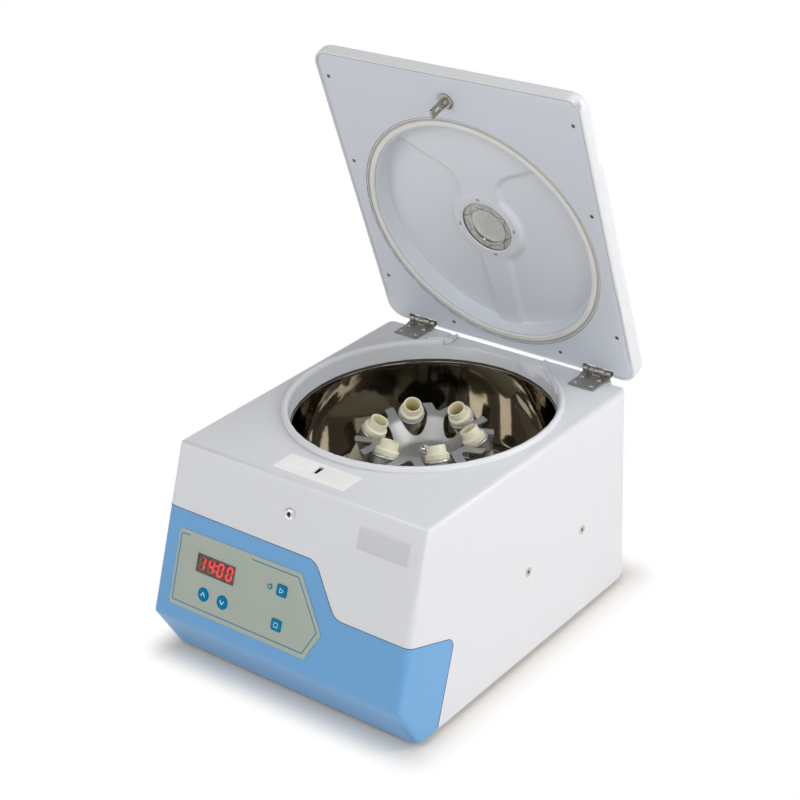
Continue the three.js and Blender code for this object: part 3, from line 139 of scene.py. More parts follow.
def slope(run: float, rise: float) -> Pair:
    """The unit direction (run, rise) of a slope."""
    length = math.hypot(run, rise)
    return run / length, rise / length


RUN, RISE = slope(PANEL_SETBACK, DECK_HEIGHT - FOLD_HEIGHT)
PANEL = Place(case_point(0, 0, FOLD_HEIGHT), (1, 0, 0), (0, RUN, RISE), (0, -RISE, RUN))
DECK = Place(case_point(0, 0, DECK_HEIGHT), (1, 0, 0), (0, 1, 0), (0, 0, 1))
SPIN = Place(case_point(0, SPIN_AXIS_Y, 0), (1, 0, 0), (0, 1, 0), (0, 0, 1))
SPIN_CENTRE = (SPIN.origin[0], SPIN.origin[1], 0.0)
OPEN_ANGLE = math.radians(LID_ANGLE)
LID_COS, LID_SIN = math.cos(OPEN_ANGLE), math.sin(OPEN_ANGLE)
LID = Place(case_point(0, *LID_FOOT), (1, 0, 0), (0, -LID_COS, LID_SIN), (0, -LID_SIN, -LID_COS))
DISH = LID.moved(y=DISH_MIDDLE)
HINGE = Place(case_point(0, *HINGE_AXIS), (1, 0, 0), (0, 1, 0), (0, 0, 1))
RIGHT_SIDE = Place(case_point(CASE_HALF_WIDTH, 0, 0), (0, 1, 0), (0, 0, 1), (1, 0, 0))
LEFT_SIDE = Place(case_point(-CASE_HALF_WIDTH, 0, 0), (0, -1, 0), (0, 0, 1), (-1, 0, 0))
REAR = Place(case_point(0, CASE_DEPTH, 0), (-1, 0, 0), (0, 0, 1), (0, 1, 0))


def carrier_angle(index: int) -> float:
    """Direction of a carrier from the shaft, in degrees."""
    return FIRST_CARRIER + 360.0 / CARRIER_COUNT * index


def carrier_place(index: int) -> Place:
    """The frame of one tube carrier at rest: out runs up along the tube, right points away from the shaft.

    Args:
        index: The carrier's number, from 0.

    Returns:
        The frame, whose origin is the middle of the carrier's pins.
    """
    angle, tilt = math.radians(carrier_angle(index)), math.radians(CARRIER_TILT)
    outward = np.array([math.cos(angle), math.sin(angle), 0.0])
    tangent = np.array([-math.sin(angle), math.cos(angle), 0.0])
    upright = np.array([0.0, 0.0, 1.0])
    out = -math.sin(tilt) * outward + math.cos(tilt) * upright
    right = math.cos(tilt) * outward + math.sin(tilt) * upright
    origin = SPIN.at(*(PIVOT_RADIUS * outward[:2]), PIVOT_HEIGHT)[0]
    return Place(tuple(origin), tuple(right), tuple(tangent), tuple(out))


# Outlines and profiles


def arc(x: float, y: float, radius: float, start: float, end: float, steps: int = 8) -> Array:
    """Points of a circular arc: centre plus radius times (cos, sin) of evenly spaced angles.

    Args:
        x: Centre.
        y: Centre.
        radius: Radius.
        start: First angle in degrees.
        end: Last angle in degrees.
        steps: Steps between them.

    Returns:
        The points, of shape (steps + 1, 2).
    """
    angles = np.radians(np.linspace(start, end, steps + 1))
    return np.stack([x + radius * np.cos(angles), y + radius * np.sin(angles)], axis=1)


def rounded(corners: Sequence[Sequence[float]], steps: int = 6, closed: bool = True) -> Outline:
    """Turns each corner (x, y, radius) into an arc that touches both of its sides.

    Args:
        corners: Corners as (x, y) or (x, y, radius).
        steps: Steps of each arc.
        closed: Whether the last corner joins the first. The ends of an open path stay as they are.

    Returns:
        The points of the outline, of shape (n, 2).
    """
    points = []
    count = len(corners)
    for index, corner in enumerate(corners):
        here = np.array(corner[:2], float)
        radius = corner[2] if len(corner) > 2 else 0.0
        if radius <= 0 or (not closed and index in (0, count - 1)):
            points.append(here[None])
            continue
        before = np.array(corners[index - 1][:2], float) - here
        after = np.array(corners[(index + 1) % count][:2], float) - here
        before /= np.linalg.norm(before)
        after /= np.linalg.norm(after)
        half = math.acos(np.clip(before @ after, -1, 1)) / 2
        bisector = (before + after) / np.linalg.norm(before + after)
        centre = here + bisector * radius / math.sin(half)
        start = here + before * radius / math.tan(half) - centre
        end = here + after * radius / math.tan(half) - centre
        sweep = math.atan2(start[0] * end[1] - start[1] * end[0], start @ end)
        turns = sweep * np.linspace(0, 1, steps + 1)
        points.append(centre + np.stack([
            start[0] * np.cos(turns) - start[1] * np.sin(turns),
            start[0] * np.sin(turns) + start[1] * np.cos(turns),
        ], axis=1))
    return np.concatenate(points)


def box_outline(
    left: float, right: float, low: float, high: float, radius: float = 0.0, steps: int = 6
) -> Outline:
    """A rectangle with rounded corners."""
    corners = ((left, low), (right, low), (right, high), (left, high))
    return rounded([(*corner, radius) for corner in corners], steps)


def grown_box(box: Sequence[float], grown: float, radius: float) -> Outline:
    """A rounded outline that runs outside a box of left, right, low and high."""
    left, right, low, high = box
    return box_outline(left - grown, right + grown, low - grown, high + grown, radius)


def circle(x: float, y: float, radius: float, segments: int = 48) -> Outline:
    """A circle as a closed outline."""
    return arc(x, y, radius, 0, 360, segments)[:-1]


def polygon(x: float, y: float, radius: float, sides: int, turn: float = 0.0) -> Outline:
    """A regular polygon as a closed outline."""
    return arc(x, y, radius, turn, turn + 360, sides)[:-1]


def turned(points: Array, angle: float) -> Array:
    """Flat points turned about the origin: (x cos a - y sin a, x sin a + y cos a).

    Args:
        points: Points of shape (n, 2).
        angle: The angle a in degrees.

    Returns:
        The turned points.
    """
    cos, sin = math.cos(math.radians(angle)), math.sin(math.radians(angle))
    x, y = points[:, 0], points[:, 1]
    return np.stack([x * cos - y * sin, x * sin + y * cos], axis=1)


def outline_normals(outline: Outline) -> Array:
    """Outward normals: at each point the mean of its two sides' normals, longer at a corner.

    Args:
        outline: An anticlockwise outline.

    Returns:
        An array of shape (n, 2). Moving each point by its normal moves the sides by 1.
    """
    sharpest = 0.35
    ahead = np.roll(outline, -1, axis=0) - outline
    sides = np.stack([ahead[:, 1], -ahead[:, 0]], axis=1)
    sides /= np.maximum(np.linalg.norm(sides, axis=1, keepdims=True), TINY)
    total = sides + np.roll(sides, 1, axis=0)
    length = np.maximum((total * total).sum(axis=1, keepdims=True) / 2, sharpest)
    return total / length


def signed_area(outline: Outline) -> float:
    """Area of an outline, positive where it runs anticlockwise."""
    ahead = np.roll(outline, -1, axis=0)
    return float((outline[:, 0] * ahead[:, 1] - outline[:, 1] * ahead[:, 0]).sum() / 2)


def anticlockwise(outline: Outline) -> Outline:
    """The same outline, run anticlockwise."""
    return outline if signed_area(outline) > 0 else outline[::-1]


def depth_inside(points: Array, outline: Outline) -> Array:
    """Signed distance to an outline: the least to any side, with its sign from the count of crossings.

    Args:
        points: Points of shape (n, 2).
        outline: The outline.

    Returns:
        The distances, positive inside.
    """
    a, b = outline[None], np.roll(outline, -1, axis=0)[None]
    p = points[:, None]
    along = np.clip(((p - a) * (b - a)).sum(-1) / ((b - a) ** 2).sum(-1), 0, 1)
    away = np.linalg.norm(p - a - along[..., None] * (b - a), axis=-1).min(axis=1)
    crosses = (a[..., 1] > p[..., 1]) != (b[..., 1] > p[..., 1])
    rise = np.where(b[..., 1] == a[..., 1], TINY, b[..., 1] - a[..., 1])
    at = a[..., 0] + (p[..., 1] - a[..., 1]) * (b[..., 0] - a[..., 0]) / rise
    inside = (crosses & (p[..., 0] < at)).sum(axis=1) % 2 == 1
    return np.where(inside, away, -away)


def ease(low: float, high: float, value: Array) -> Array:
    """Smooth step: 0 below low, 1 above high, and 3t^2 - 2t^3 between."""
    t = np.clip((value - low) / (high - low), 0, 1)
    return t * t * (3 - 2 * t)


def blended_max(first: Array, second: Array, width: float) -> Array:
    """The greater of two fields, with a rounded seam as wide as width."""
    share = np.clip(0.5 + 0.5 * (first - second) / width, 0, 1)
    return second + (first - second) * share + width * share * (1 - share)


def bell(value: Array, width: float) -> Array:
    """A bell: e to the power of minus the square of value / width."""
    return np.exp(-((value / width) ** 2))


def smeared(
    place: Array, places: Sequence[float], heights: Sequence[float], reach_out: float, count: int
) -> Array:
    """A broken line with rounded bends: its mean over a window about each place.

    Args:
        place: Where the heights are wanted.
        places: Places of the line's corners, rising.
        heights: Heights of the line's corners.
        reach_out: Half of the window.
        count: Samples in the window.

    Returns:
        The heights.
    """
    offsets = np.linspace(-reach_out, reach_out, count)
    return np.mean([np.interp(place + offset, places, heights) for offset in offsets], axis=0)


# Meshes


def grid_faces(rows: int, columns: int, wrap_rows: bool = False, wrap_columns: bool = False) -> Array:
    """Quads of a grid of points numbered row by row.

    Args:
        rows: Number of rows.
        columns: Number of columns.
        wrap_rows: Whether the last row joins the first.
        wrap_columns: Whether the last column joins the first.

    Returns:
        An array of shape (n, 4).
    """
    i = np.arange(rows if wrap_rows else rows - 1)[:, None]
    j = np.arange(columns if wrap_columns else columns - 1)[None]
    next_i, next_j = (i + 1) % rows, (j + 1) % columns
    return np.stack([
        (i * columns + j).ravel(), (i * columns + next_j).ravel(),
        (next_i * columns + next_j).ravel(), (next_i * columns + j).ravel(),
    ], axis=1)


@dataclass
class Shape:
    """Points in metres and faces of a mesh, with optional values at the points."""

    points: Array
    faces: list
    values: dict[str, Array] | None = None

    def joined(self, *others: "Shape") -> "Shape":
        """This shape and others as one, without their values.

        Args:
            others: The other shapes.

        Returns:
            The joined shape.
        """
        points, faces = [self.points], list(self.faces)
        total = len(self.points)
        for other in others:
            points.append(other.points)
            faces += [[index + total for index in face] for face in other.faces]
            total += len(other.points)
        return Shape(np.concatenate(points), faces)


def revolved(place: Place, profile: Array, segments: int = 96, closed: bool = True) -> Shape:
    """A surface of revolution: point (r, z) of the profile turned about out becomes (r cos a, r sin a, z).

    Args:
        place: The frame whose out direction is the axis.
        profile: Points (radius, height) in millimetres.
        segments: Steps round the axis.
        closed: Whether the profile's last point joins its first.

    Returns:
        The shape, with the value "along" that runs from 0 to 1 over the profile.
    """
    profile = np.asarray(profile, float)
    angles = TURN * np.arange(segments) / segments
    radius, height = profile[:, :1], profile[:, 1:]
    points = place.at(radius * np.cos(angles), radius * np.sin(angles), height + 0 * angles)
    faces = grid_faces(len(profile), segments, closed, True).tolist()
    along = np.repeat(np.linspace(0, 1, len(profile)), segments)
    return Shape(points, faces, {"along": along})


def triangulated(
    outer: Outline, holes: Sequence[Outline] = (), extra: Array | None = None
) -> tuple[Array, Array]:
    """Delaunay triangles inside an outline and outside its holes.

    Args:
        outer: The outline.
        holes: Outlines of holes.
        extra: More points inside, of shape (n, 2).

    Returns:
        Points of shape (n, 2) and triangles of shape (m, 3).
    """
    loops = [np.asarray(loop) for loop in (outer, *holes)]
    edges, start = [], 0
    for loop in loops:
        index = np.arange(len(loop)) + start
        edges += np.stack([index, np.roll(index, -1)], axis=1).tolist()
        start += len(loop)
    stack = loops + ([extra] if extra is not None else [])
    verts, _, faces, *_ = delaunay_2d_cdt(np.concatenate(stack).tolist(), edges, [], 0, CLOSE)
    points = np.array([tuple(v) for v in verts])
    triangles = np.array([f for f in faces if len(f) == 3])
    middle = points[triangles].mean(axis=1)
    keep = depth_inside(middle, loops[0]) > 0
    for hole in loops[1:]:
        keep &= depth_inside(middle, hole) < 0
    return points, triangles[keep]


def slab(
    place: Place, outer: Outline, low: float, high: float,
    holes: Sequence[Outline] = (), edge: float = 0.0, steps: int = 3, low_edge: bool = False,
) -> Shape:
    """A plate of an outline with holes, between two heights, whose upper edges are rounded.

    The wall is a stack of copies of the outline. Near the top each copy moves inward by
    edge (1 - sin t) and up by edge cos t, so the edge is a quarter round.

    Args:
        place: The frame the outline lies in.
        outer: The outline, in millimetres.
        low: Height of the underside along out.
        high: Height of the upper side.
        holes: Outlines of holes.
        edge: Radius of the upper edge.
        steps: Steps of the quarter round.
        low_edge: Whether the lower edge is rounded too.

    Returns:
        One closed shape.
    """
    loops = [anticlockwise(np.asarray(outer, float))]
    loops += [anticlockwise(np.asarray(hole, float))[::-1] for hole in holes]
    turns = np.linspace(0, math.pi / 2, steps + 1) if edge else [0.0]
    top = [(edge * (1 - math.cos(t)), high - edge * (1 - math.sin(t))) for t in turns]
    foot = [(inset, low + high - z) for inset, z in reversed(top)] if low_edge else [(0.0, low)]
    levels = foot + top
    points, faces, start = [], [], 0
    caps = []
    for loop in loops:
        normals = outline_normals(loop)
        rings = [loop - normals * inset for inset, _ in levels]
        count = len(loop)
        heights = np.repeat([z for _, z in levels], count)
        flat = np.concatenate(rings)
        points.append(place.at(flat[:, 0], flat[:, 1], heights))
        faces += (grid_faces(len(levels), count, False, True) + start).tolist()
        caps.append((rings[0], rings[-1]))
        start += count * len(levels)
    for which, height, flip in ((0, levels[0][1], True), (1, levels[-1][1], False)):
        flat, triangles = triangulated(caps[0][which], [c[which] for c in caps[1:]])
        points.append(place.at(flat[:, 0], flat[:, 1], height))
        triangles = (triangles[:, ::-1] if flip else triangles) + start
        faces += triangles.tolist()
        start += len(flat)
    return Shape(np.concatenate(points), faces)


def ribbon(place: Place, path: Outline, width: float, low: float, high: float, closed: bool = False) -> Shape:
    """A printed line: a thin bar of rectangular section along a flat path.

    Each point of the path gives four corners, half the width to either side, at the low and the high height.

    Args:
        place: The frame the path lies in.
        path: The path, in millimetres.
        width: Width of the line.
        low: Height of its underside along out.
        high: Height of its upper side.
        closed: Whether the last point joins the first.

    Returns:
        One closed shape.
    """
    sharpest = 0.5
    path = np.asarray(path, float)
    ahead = np.roll(path, -1, axis=0) - path
    behind = path - np.roll(path, 1, axis=0)
    if not closed:
        ahead[-1], behind[0] = behind[-1], ahead[0]
    ahead /= np.linalg.norm(ahead, axis=1, keepdims=True)
    behind /= np.linalg.norm(behind, axis=1, keepdims=True)
    along = ahead + behind
    scale = width / np.maximum((along * along).sum(axis=1, keepdims=True) / 2, sharpest)
    side = np.stack([along[:, 1], -along[:, 0]], axis=1) * scale / 2
    left, right = path - side, path + side
    x = np.stack([left[:, 0], right[:, 0], right[:, 0], left[:, 0]], axis=1)
    y = np.stack([left[:, 1], right[:, 1], right[:, 1], left[:, 1]], axis=1)
    z = np.array([low, low, high, high]) + 0 * x
    faces = grid_faces(len(path), 4, closed, True).tolist()
    if not closed:
        last = 4 * (len(path) - 1)
        faces += [[3, 2, 1, 0], [last, last + 1, last + 2, last + 3]]
    return Shape(place.at(x, y, z), faces)


def tube(points: Array, radius: float, sides: int = 12) -> Shape:
    """A round wire along a path in metres: circles set square to the path, turned as little as possible.

    Args:
        points: The path, of shape (n, 3).
        radius: Radius of the wire in millimetres.
        sides: Points of each circle.

    Returns:
        One closed shape with flat ends.
    """
    tangents = np.gradient(points, axis=0)
    tangents /= np.linalg.norm(tangents, axis=1, keepdims=True)
    normal = np.array([1.0, 0.0, 0.0])
    normals = np.empty_like(points)
    for index, tangent in enumerate(tangents):
        normal = normal - tangent * (normal @ tangent)
        normal /= np.linalg.norm(normal)
        normals[index] = normal
    across = np.cross(tangents, normals)
    angles = TURN * np.arange(sides) / sides
    rings = points[:, None] + radius * MM * (
        np.cos(angles)[None, :, None] * normals[:, None] + np.sin(angles)[None, :, None] * across[:, None]
    )
    count = len(points)
    faces = grid_faces(count, sides, False, True).tolist()
    faces += [list(range(sides))[::-1], list(range((count - 1) * sides, count * sides))]
    return Shape(rings.reshape(-1, 3), faces)


@dataclass(frozen=True)
class ScrewHead:
    """A domed screw head with a cross recess.

    Height over the disc is a dome, height (1 - (r / R)^2.6), less a cross-shaped pit. The arms' half width is
    cross R and their length arm R.
    """

    radius: float
    height: float
    cross: float = 0.24
    depth: float = 0.45
    arm: float = 0.62
    dome: float = 2.6
    rings: int = 15
    crowding: float = 0.9
    segments: int = 48
    cross_fade: float = 0.55
    arm_fade: float = 0.82
    sunk: float = 0.25

    def bar(self, across: Array, along: Array) -> Array:
        """One bar of the cross: 1 inside it and 0 outside, with soft edges."""
        wide = ease(self.cross, self.cross * self.cross_fade, np.abs(across))
        return wide * ease(self.arm, self.arm * self.arm_fade, np.abs(along))

    def shape(self, place: Place) -> Shape:
        """The head as one closed shape.

        Args:
            place: The frame it sits in, its middle at the origin.

        Returns:
            The shape.
        """
        share = np.linspace(0, 1, self.rings)[:, None] ** self.crowding
        angles = TURN * np.arange(self.segments)[None] / self.segments
        x, y = share * np.cos(angles), share * np.sin(angles)
        pit = self.depth * self.height * np.maximum(self.bar(x, y), self.bar(y, x))
        z = self.height * (1 - (share**self.dome)) * np.ones_like(angles) - pit
        z[-1] = 0
        foot = np.full((1, self.segments), -self.sunk)
        x = np.concatenate([x, x[-1:], 0 * x[-1:]]) * self.radius
        y = np.concatenate([y, y[-1:], 0 * y[-1:]]) * self.radius
        z = np.concatenate([z, foot, foot])
        return Shape(place.at(x, y, z), grid_faces(self.rings + 2, self.segments, False, True).tolist())


def node_points(name: str) -> Array:
    """Corners of a CAD node's mesh.

    Args:
        name: The node.

    Returns:
        Points in metres, of shape (n, 3).
    """
    mesh = frame["nodes"][name].data
    flat = np.empty(len(mesh.vertices) * 3)
    mesh.vertices.foreach_get("co", flat)
    return flat.reshape(-1, 3)


def reach(name: str, place: Place) -> tuple[Array, Array]:
    """Lowest and highest corners of a CAD node in a local frame, in millimetres."""
    local = place.local(node_points(name))
    return local.min(axis=0), local.max(axis=0)


# Shader building


@dataclass(frozen=True)
class Noise:
    """A noise texture between 0 and 1: its cells a metre, its octaves and how strong the finer ones are."""

    scale: float
    detail: float = 2.0
    fineness: float = 0.55


class Value:
    """A number in a shader. Sums and products of values add the Math nodes that work them out."""

    def __init__(self, shader: "Shader", socket: Socket) -> None:
        """Keeps the socket that gives the number."""
        self.shader = shader
        self.socket = socket

    def _maths(self, operation: str, first: object, second: object) -> "Value":
        """Adds one Math node."""
        node = self.shader.node("ShaderNodeMath", {"operation": operation}, {0: first, 1: second})
        return Value(self.shader, node.outputs[0])

    def __add__(self, other: object) -> "Value":
        """Sum."""
        return self._maths("ADD", self, other)

    def __radd__(self, other: object) -> "Value":
        """Sum, reflected."""
        return self._maths("ADD", other, self)

    def __sub__(self, other: object) -> "Value":
        """Difference."""
        return self._maths("SUBTRACT", self, other)

    def __rsub__(self, other: object) -> "Value":
        """Difference, reflected."""
        return self._maths("SUBTRACT", other, self)

    def __mul__(self, other: object) -> "Value":
        """Product."""
        return self._maths("MULTIPLY", self, other)

    def __rmul__(self, other: object) -> "Value":
        """Product, reflected."""
        return self._maths("MULTIPLY", other, self)

    def sine(self) -> "Value":
        """The sine of this number of radians."""
        node = self.shader.node("ShaderNodeMath", {"operation": "SINE"}, {0: self})
        return Value(self.shader, node.outputs[0])

    def capped(self) -> "Value":
        """The lesser of this number and 1."""
        return self._maths("MINIMUM", self, 1.0)

    def over(self, low: float, high: float) -> "Value":
        """A smooth step of this number.

        Args:
            low: Where the step is 0.
            high: Where it is 1.

        Returns:
            The step.
        """
        node = self.shader.node(
            "ShaderNodeMapRange", {"interpolation_type": "SMOOTHSTEP"},
            {"Value": self, "From Min": low, "From Max": high},
        )
        return Value(self.shader, node.outputs[0])


class Tree:
    """A node tree that is being built."""

    def __init__(self, tree: bpy.types.NodeTree) -> None:
        """Takes a node tree and empties it."""
        self.tree = tree
        self.tree.nodes.clear()

    def node(self, kind: str, settings: dict | None = None, inputs: dict | None = None) -> Node:
        """Adds a node.

        Args:
            kind: The node's type.
            settings: Properties that are set first. The key "stops" holds a ramp's two (position, colour).
            inputs: Values or links of its sockets, by name or number.

        Returns:
            The node.
        """
        made = self.tree.nodes.new(kind)
        settings = dict(settings or {})
        for stop, (position, colour) in enumerate(settings.pop("stops", ())):
            element = made.color_ramp.elements[stop]
            element.position = position
            element.color = (*colour, 1.0)
        for key, value in settings.items():
            setattr(made, key, value)
        for key, value in (inputs or {}).items():
            self.feed(made.inputs[key], value)
        return made

    def feed(self, socket: Socket, value: object) -> None:
        """Sets a socket to a number, a colour, or a link from another socket.

        Args:
            socket: The socket.
            value: What it takes.
        """
        if isinstance(value, Value):
            value = value.socket
        if isinstance(value, Socket):
            self.tree.links.new(value, socket)
        elif isinstance(value, tuple) and len(value) == 3 and len(socket.default_value) == 4:
            socket.default_value = (*value, 1.0)
        else:
            socket.default_value = value


class Shader(Tree):
    """A node material that is being built round one Principled BSDF."""

    def __init__(self, name: str) -> None:
        """Makes the material with its surface node and output.

        Args:
            name: Name of the material.
        """
        self.material = bpy.data.materials.new(name)
        self.material.use_nodes = True
        super().__init__(self.material.node_tree)
        self.surface = self.node("ShaderNodeBsdfPrincipled")
        self.output = self.node("ShaderNodeOutputMaterial", None, {"Surface": self.surface.outputs[0]})
        self._coordinates: Socket | None = None

    @property
    def coordinates(self) -> Socket:
        """Object coordinates, made once."""
        if self._coordinates is None:
            self._coordinates = self.node("ShaderNodeTexCoord").outputs["Object"]
        return self._coordinates

    def stretched(self, scale: Vector, centre: Vector = (0.0, 0.0, 0.0)) -> Socket:
        """Object coordinates centred on a point and scaled along each axis.

        Args:
            scale: The three scales.
            centre: The point.

        Returns:
            The vector.
        """
        offset = tuple(-c * s for c, s in zip(centre, scale))
        sockets = {"Vector": self.coordinates, "Scale": scale, "Location": offset}
        return self.node("ShaderNodeMapping", None, sockets).outputs[0]

    def noise(self, kind: Noise, vector: Socket | None = None) -> Value:
        """A noise over object coordinates, or over a vector that is given.

        Args:
            kind: The noise.
            vector: The vector.

        Returns:
            A number from 0 to 1.
        """
        node = self.node("ShaderNodeTexNoise", None, {
            "Vector": vector or self.coordinates, "Scale": kind.scale, "Detail": kind.detail,
            "Roughness": kind.fineness,
        })
        return Value(self, node.outputs["Fac"])

    def vector(self, operation: str, first: object, second: object = (0.0, 0.0, 0.0)) -> Socket:
        """Adds one Vector Math node and gives its vector."""
        return self.node("ShaderNodeVectorMath", {"operation": operation}, {0: first, 1: second}).outputs[0]

    def length(self, vector: Socket) -> Value:
        """The length of a vector."""
        return Value(self, self.node("ShaderNodeVectorMath", {"operation": "LENGTH"}, {0: vector}).outputs[1])

    def attribute(self, name: str) -> Value:
        """A number kept at the mesh's points."""
        return Value(self, self.node("ShaderNodeAttribute", {"attribute_name": name}).outputs["Fac"])

    def mixed(self, share: Value | float, first: object, second: object) -> Socket:
        """A colour between two colours."""
        return self.node("ShaderNodeMix", {"data_type": "RGBA"}, {0: share, 6: first, 7: second}).outputs[2]

    def shaded(self, share: Value, colour: Colour, darker: float, lighter: float) -> Socket:
        """A colour that is darker by one share where a value is 0, and lighter by another where it is 1."""
        return self.mixed(share, tinted(colour, -darker), tinted(colour, lighter))

    def bumped(self, height: Value, distance: float) -> None:
        """Lets a height field, times a distance in metres, tilt the surface's normal."""
        bump = self.node("ShaderNodeBump", None, {"Height": height, "Distance": distance, "Strength": 1.0})
        self.feed(self.surface.inputs["Normal"], bump.outputs[0])

    def set(self, **sockets: object) -> None:
        """Sets sockets of the surface: underscores in a name stand for spaces."""
        for key, value in sockets.items():
            self.feed(self.surface.inputs[key.replace("_", " ")], value)


def tinted(colour: Colour, share: float) -> Colour:
    """A colour made lighter or darker by a share."""
    return tuple(min(1.0, max(0.0, c * (1 + share))) for c in colour)


def swung(middle: float, swing: float, value: Value) -> Value:
    """A number that goes from half a swing below its middle to half above, as a value goes from 0 to 1."""
    return middle - swing / 2 + value * swing


# Finishes


@dataclass(frozen=True)
class Enamel:
    """Smooth sprayed enamel or moulded gloss: a faint mottle, a fine orange peel and uneven gloss."""

    name: str
    colour: Colour
    roughness: float = 0.38
    mottle: float = 0.01
    relief: float = 8.0e-6
    cloud: Noise = Noise(9.0, 3.0)
    grain: Noise = Noise(900.0)
    peel: Noise = Noise(520.0, 1.5)
    cloud_share: float = 0.7
    swing: float = 0.02

    def make(self) -> Material:
        """Builds the material."""
        shader = Shader(self.name)
        cloud = shader.noise(self.cloud)
        shade = cloud * self.cloud_share + shader.noise(self.grain) * (1 - self.cloud_share)
        shader.set(
            Base_Color=shader.shaded(shade, self.colour, self.mottle, self.mottle),
            Roughness=swung(self.roughness, self.swing, cloud),
        )
        shader.bumped(shader.noise(self.peel), self.relief)
        return shader.material


@dataclass(frozen=True)
class Moulding:
    """Matt moulded plastic or printed film with a fine even grain."""

    name: str
    colour: Colour
    roughness: float = 0.5
    relief: float = 2.5e-5
    gloss: float = 0.5
    fine: Noise = Noise(2600.0)
    wide: Noise = Noise(26.0, 3.0)
    mottle: float = 0.05
    fine_share: float = 0.5
    swing: float = 0.1

    def make(self) -> Material:
        """Builds the material."""
        shader = Shader(self.name)
        fine, wide = shader.noise(self.fine), shader.noise(self.wide)
        shade = fine * self.fine_share + wide * (1 - self.fine_share)
        shader.set(
            Base_Color=shader.shaded(shade, self.colour, self.mottle, self.mottle),
            Roughness=swung(self.roughness, self.swing, wide), Specular_IOR_Level=self.gloss,
        )
        shader.bumped(fine, self.relief)
        return shader.material


@dataclass(frozen=True)
class DrawnMetal:
    """Metal with a satin or drawn surface: grain stretched along one axis, and patchy gloss."""

    name: str
    colour: Colour
    roughness: float = 0.3
    stretch: Vector = (40.0, 900.0, 900.0)
    relief: float = 1.0e-5
    swing: float = 0.12
    lines: Noise = Noise(1.0, 3.0)
    patches: Noise = Noise(60.0, 3.0)
    darker: float = 0.1
    lighter: float = 0.07
    line_share: float = 0.6

    def make(self) -> Material:
        """Builds the material."""
        shader = Shader(self.name)
        lines = shader.noise(self.lines, shader.stretched(self.stretch))
        patches = shader.noise(self.patches)
        gloss = lines * self.line_share + patches * (1 - self.line_share)
        shader.set(
            Base_Color=shader.shaded(patches, self.colour, self.darker, self.lighter),
            Metallic=1.0, Roughness=swung(self.roughness, self.swing, gloss),
        )
        shader.bumped(lines, self.relief)
        return shader.material


@dataclass(frozen=True)
class TurnedMetal:
    """Aluminium that was turned and etched: faint rings about the spin axis over a fine blasted grain."""

    name: str
    colour: Colour
    roughness: float = 0.36
    ring_rate: float = 9000.0
    ring_share: float = 0.12
    grain: Noise = Noise(3200.0)
    grain_share: float = 0.7
    relief: float = 1.2e-5
    cloud: Noise = Noise(70.0, 3.0)
    darker: float = 0.06
    lighter: float = 0.05
    swing: float = 0.1

    def make(self) -> Material:
        """Builds the material. The rings are the sine of ring_rate times the distance from the axis."""
        shader = Shader(self.name)
        radius = shader.length(shader.stretched((1.0, 1.0, 0.0), SPIN_CENTRE))
        rings = (radius * self.ring_rate).sine()
        grain = shader.noise(self.grain)
        cloud = shader.noise(self.cloud)
        shader.set(
            Base_Color=shader.shaded(cloud, self.colour, self.darker, self.lighter),
            Metallic=1.0, Roughness=swung(self.roughness, self.swing, cloud),
        )
        shader.bumped(grain * self.grain_share + rings * self.ring_share, self.relief)
        return shader.material


@dataclass(frozen=True)
class SpunMirror:
    """Polished spun steel: a dark mirror with slow waves that bend its reflections, and faint rub marks."""

    name: str
    colour: Colour
    roughness: float = 0.03
    relief: float = 2.8e-4
    waves: Noise = Noise(1.0)
    wave_stretch: Vector = (26.0, 26.0, 7.0)
    hair: Noise = Noise(1.0, 3.0)
    hair_stretch: Vector = (60.0, 60.0, 1600.0)
    hair_share: float = 0.002
    hair_swing: float = 0.02
    stain: Noise = Noise(16.0, 4.0)
    stain_swing: float = 0.03
    darker: float = 0.12
    lighter: float = 0.1

    def make(self) -> Material:
        """Builds the material."""
        shader = Shader(self.name)
        waves = shader.noise(self.waves, shader.stretched(self.wave_stretch, SPIN_CENTRE))
        hair = shader.noise(self.hair, shader.stretched(self.hair_stretch, SPIN_CENTRE))
        stain = shader.noise(self.stain)
        shader.set(
            Base_Color=shader.shaded(stain, self.colour, self.darker, self.lighter),
            Metallic=1.0, Roughness=self.roughness + stain * self.stain_swing + hair * self.hair_swing,
        )
        shader.bumped(waves + hair * self.hair_share, self.relief)
        return shader.material


@dataclass(frozen=True)
class TubePlastic:
    """Cream moulded plastic: waxy outside, and ochre painted shade down the bore, where the value "inside" is
    1.
    """

    name: str
    outside: Colour
    inside: Colour
    roughness: float = 0.34
    swing: float = 0.1
    mottle: float = 0.03
    cloud: Noise = Noise(120.0, 3.0)
    grain: Noise = Noise(1500.0)
    relief: float = 8.0e-6
    softness: float = 0.25
    depths: Vector = (1.0, 0.75, 0.4)
    depth_scale: float = 0.002

    def make(self) -> Material:
        """Builds the material."""
        shader = Shader(self.name)
        cloud = shader.noise(self.cloud)
        # painted shade: the bore turns ochre with depth from the mouth
        deep = shader.attribute("inside")
        skin = shader.shaded(cloud, self.outside, self.mottle, self.mottle)
        shader.set(
            Base_Color=shader.mixed(deep, skin, self.inside),
            Roughness=self.roughness + cloud * self.swing,
            Subsurface_Weight=self.softness, Subsurface_Radius=self.depths, Subsurface_Scale=self.depth_scale,
        )
        shader.bumped(shader.noise(self.grain), self.relief)
        return shader.material


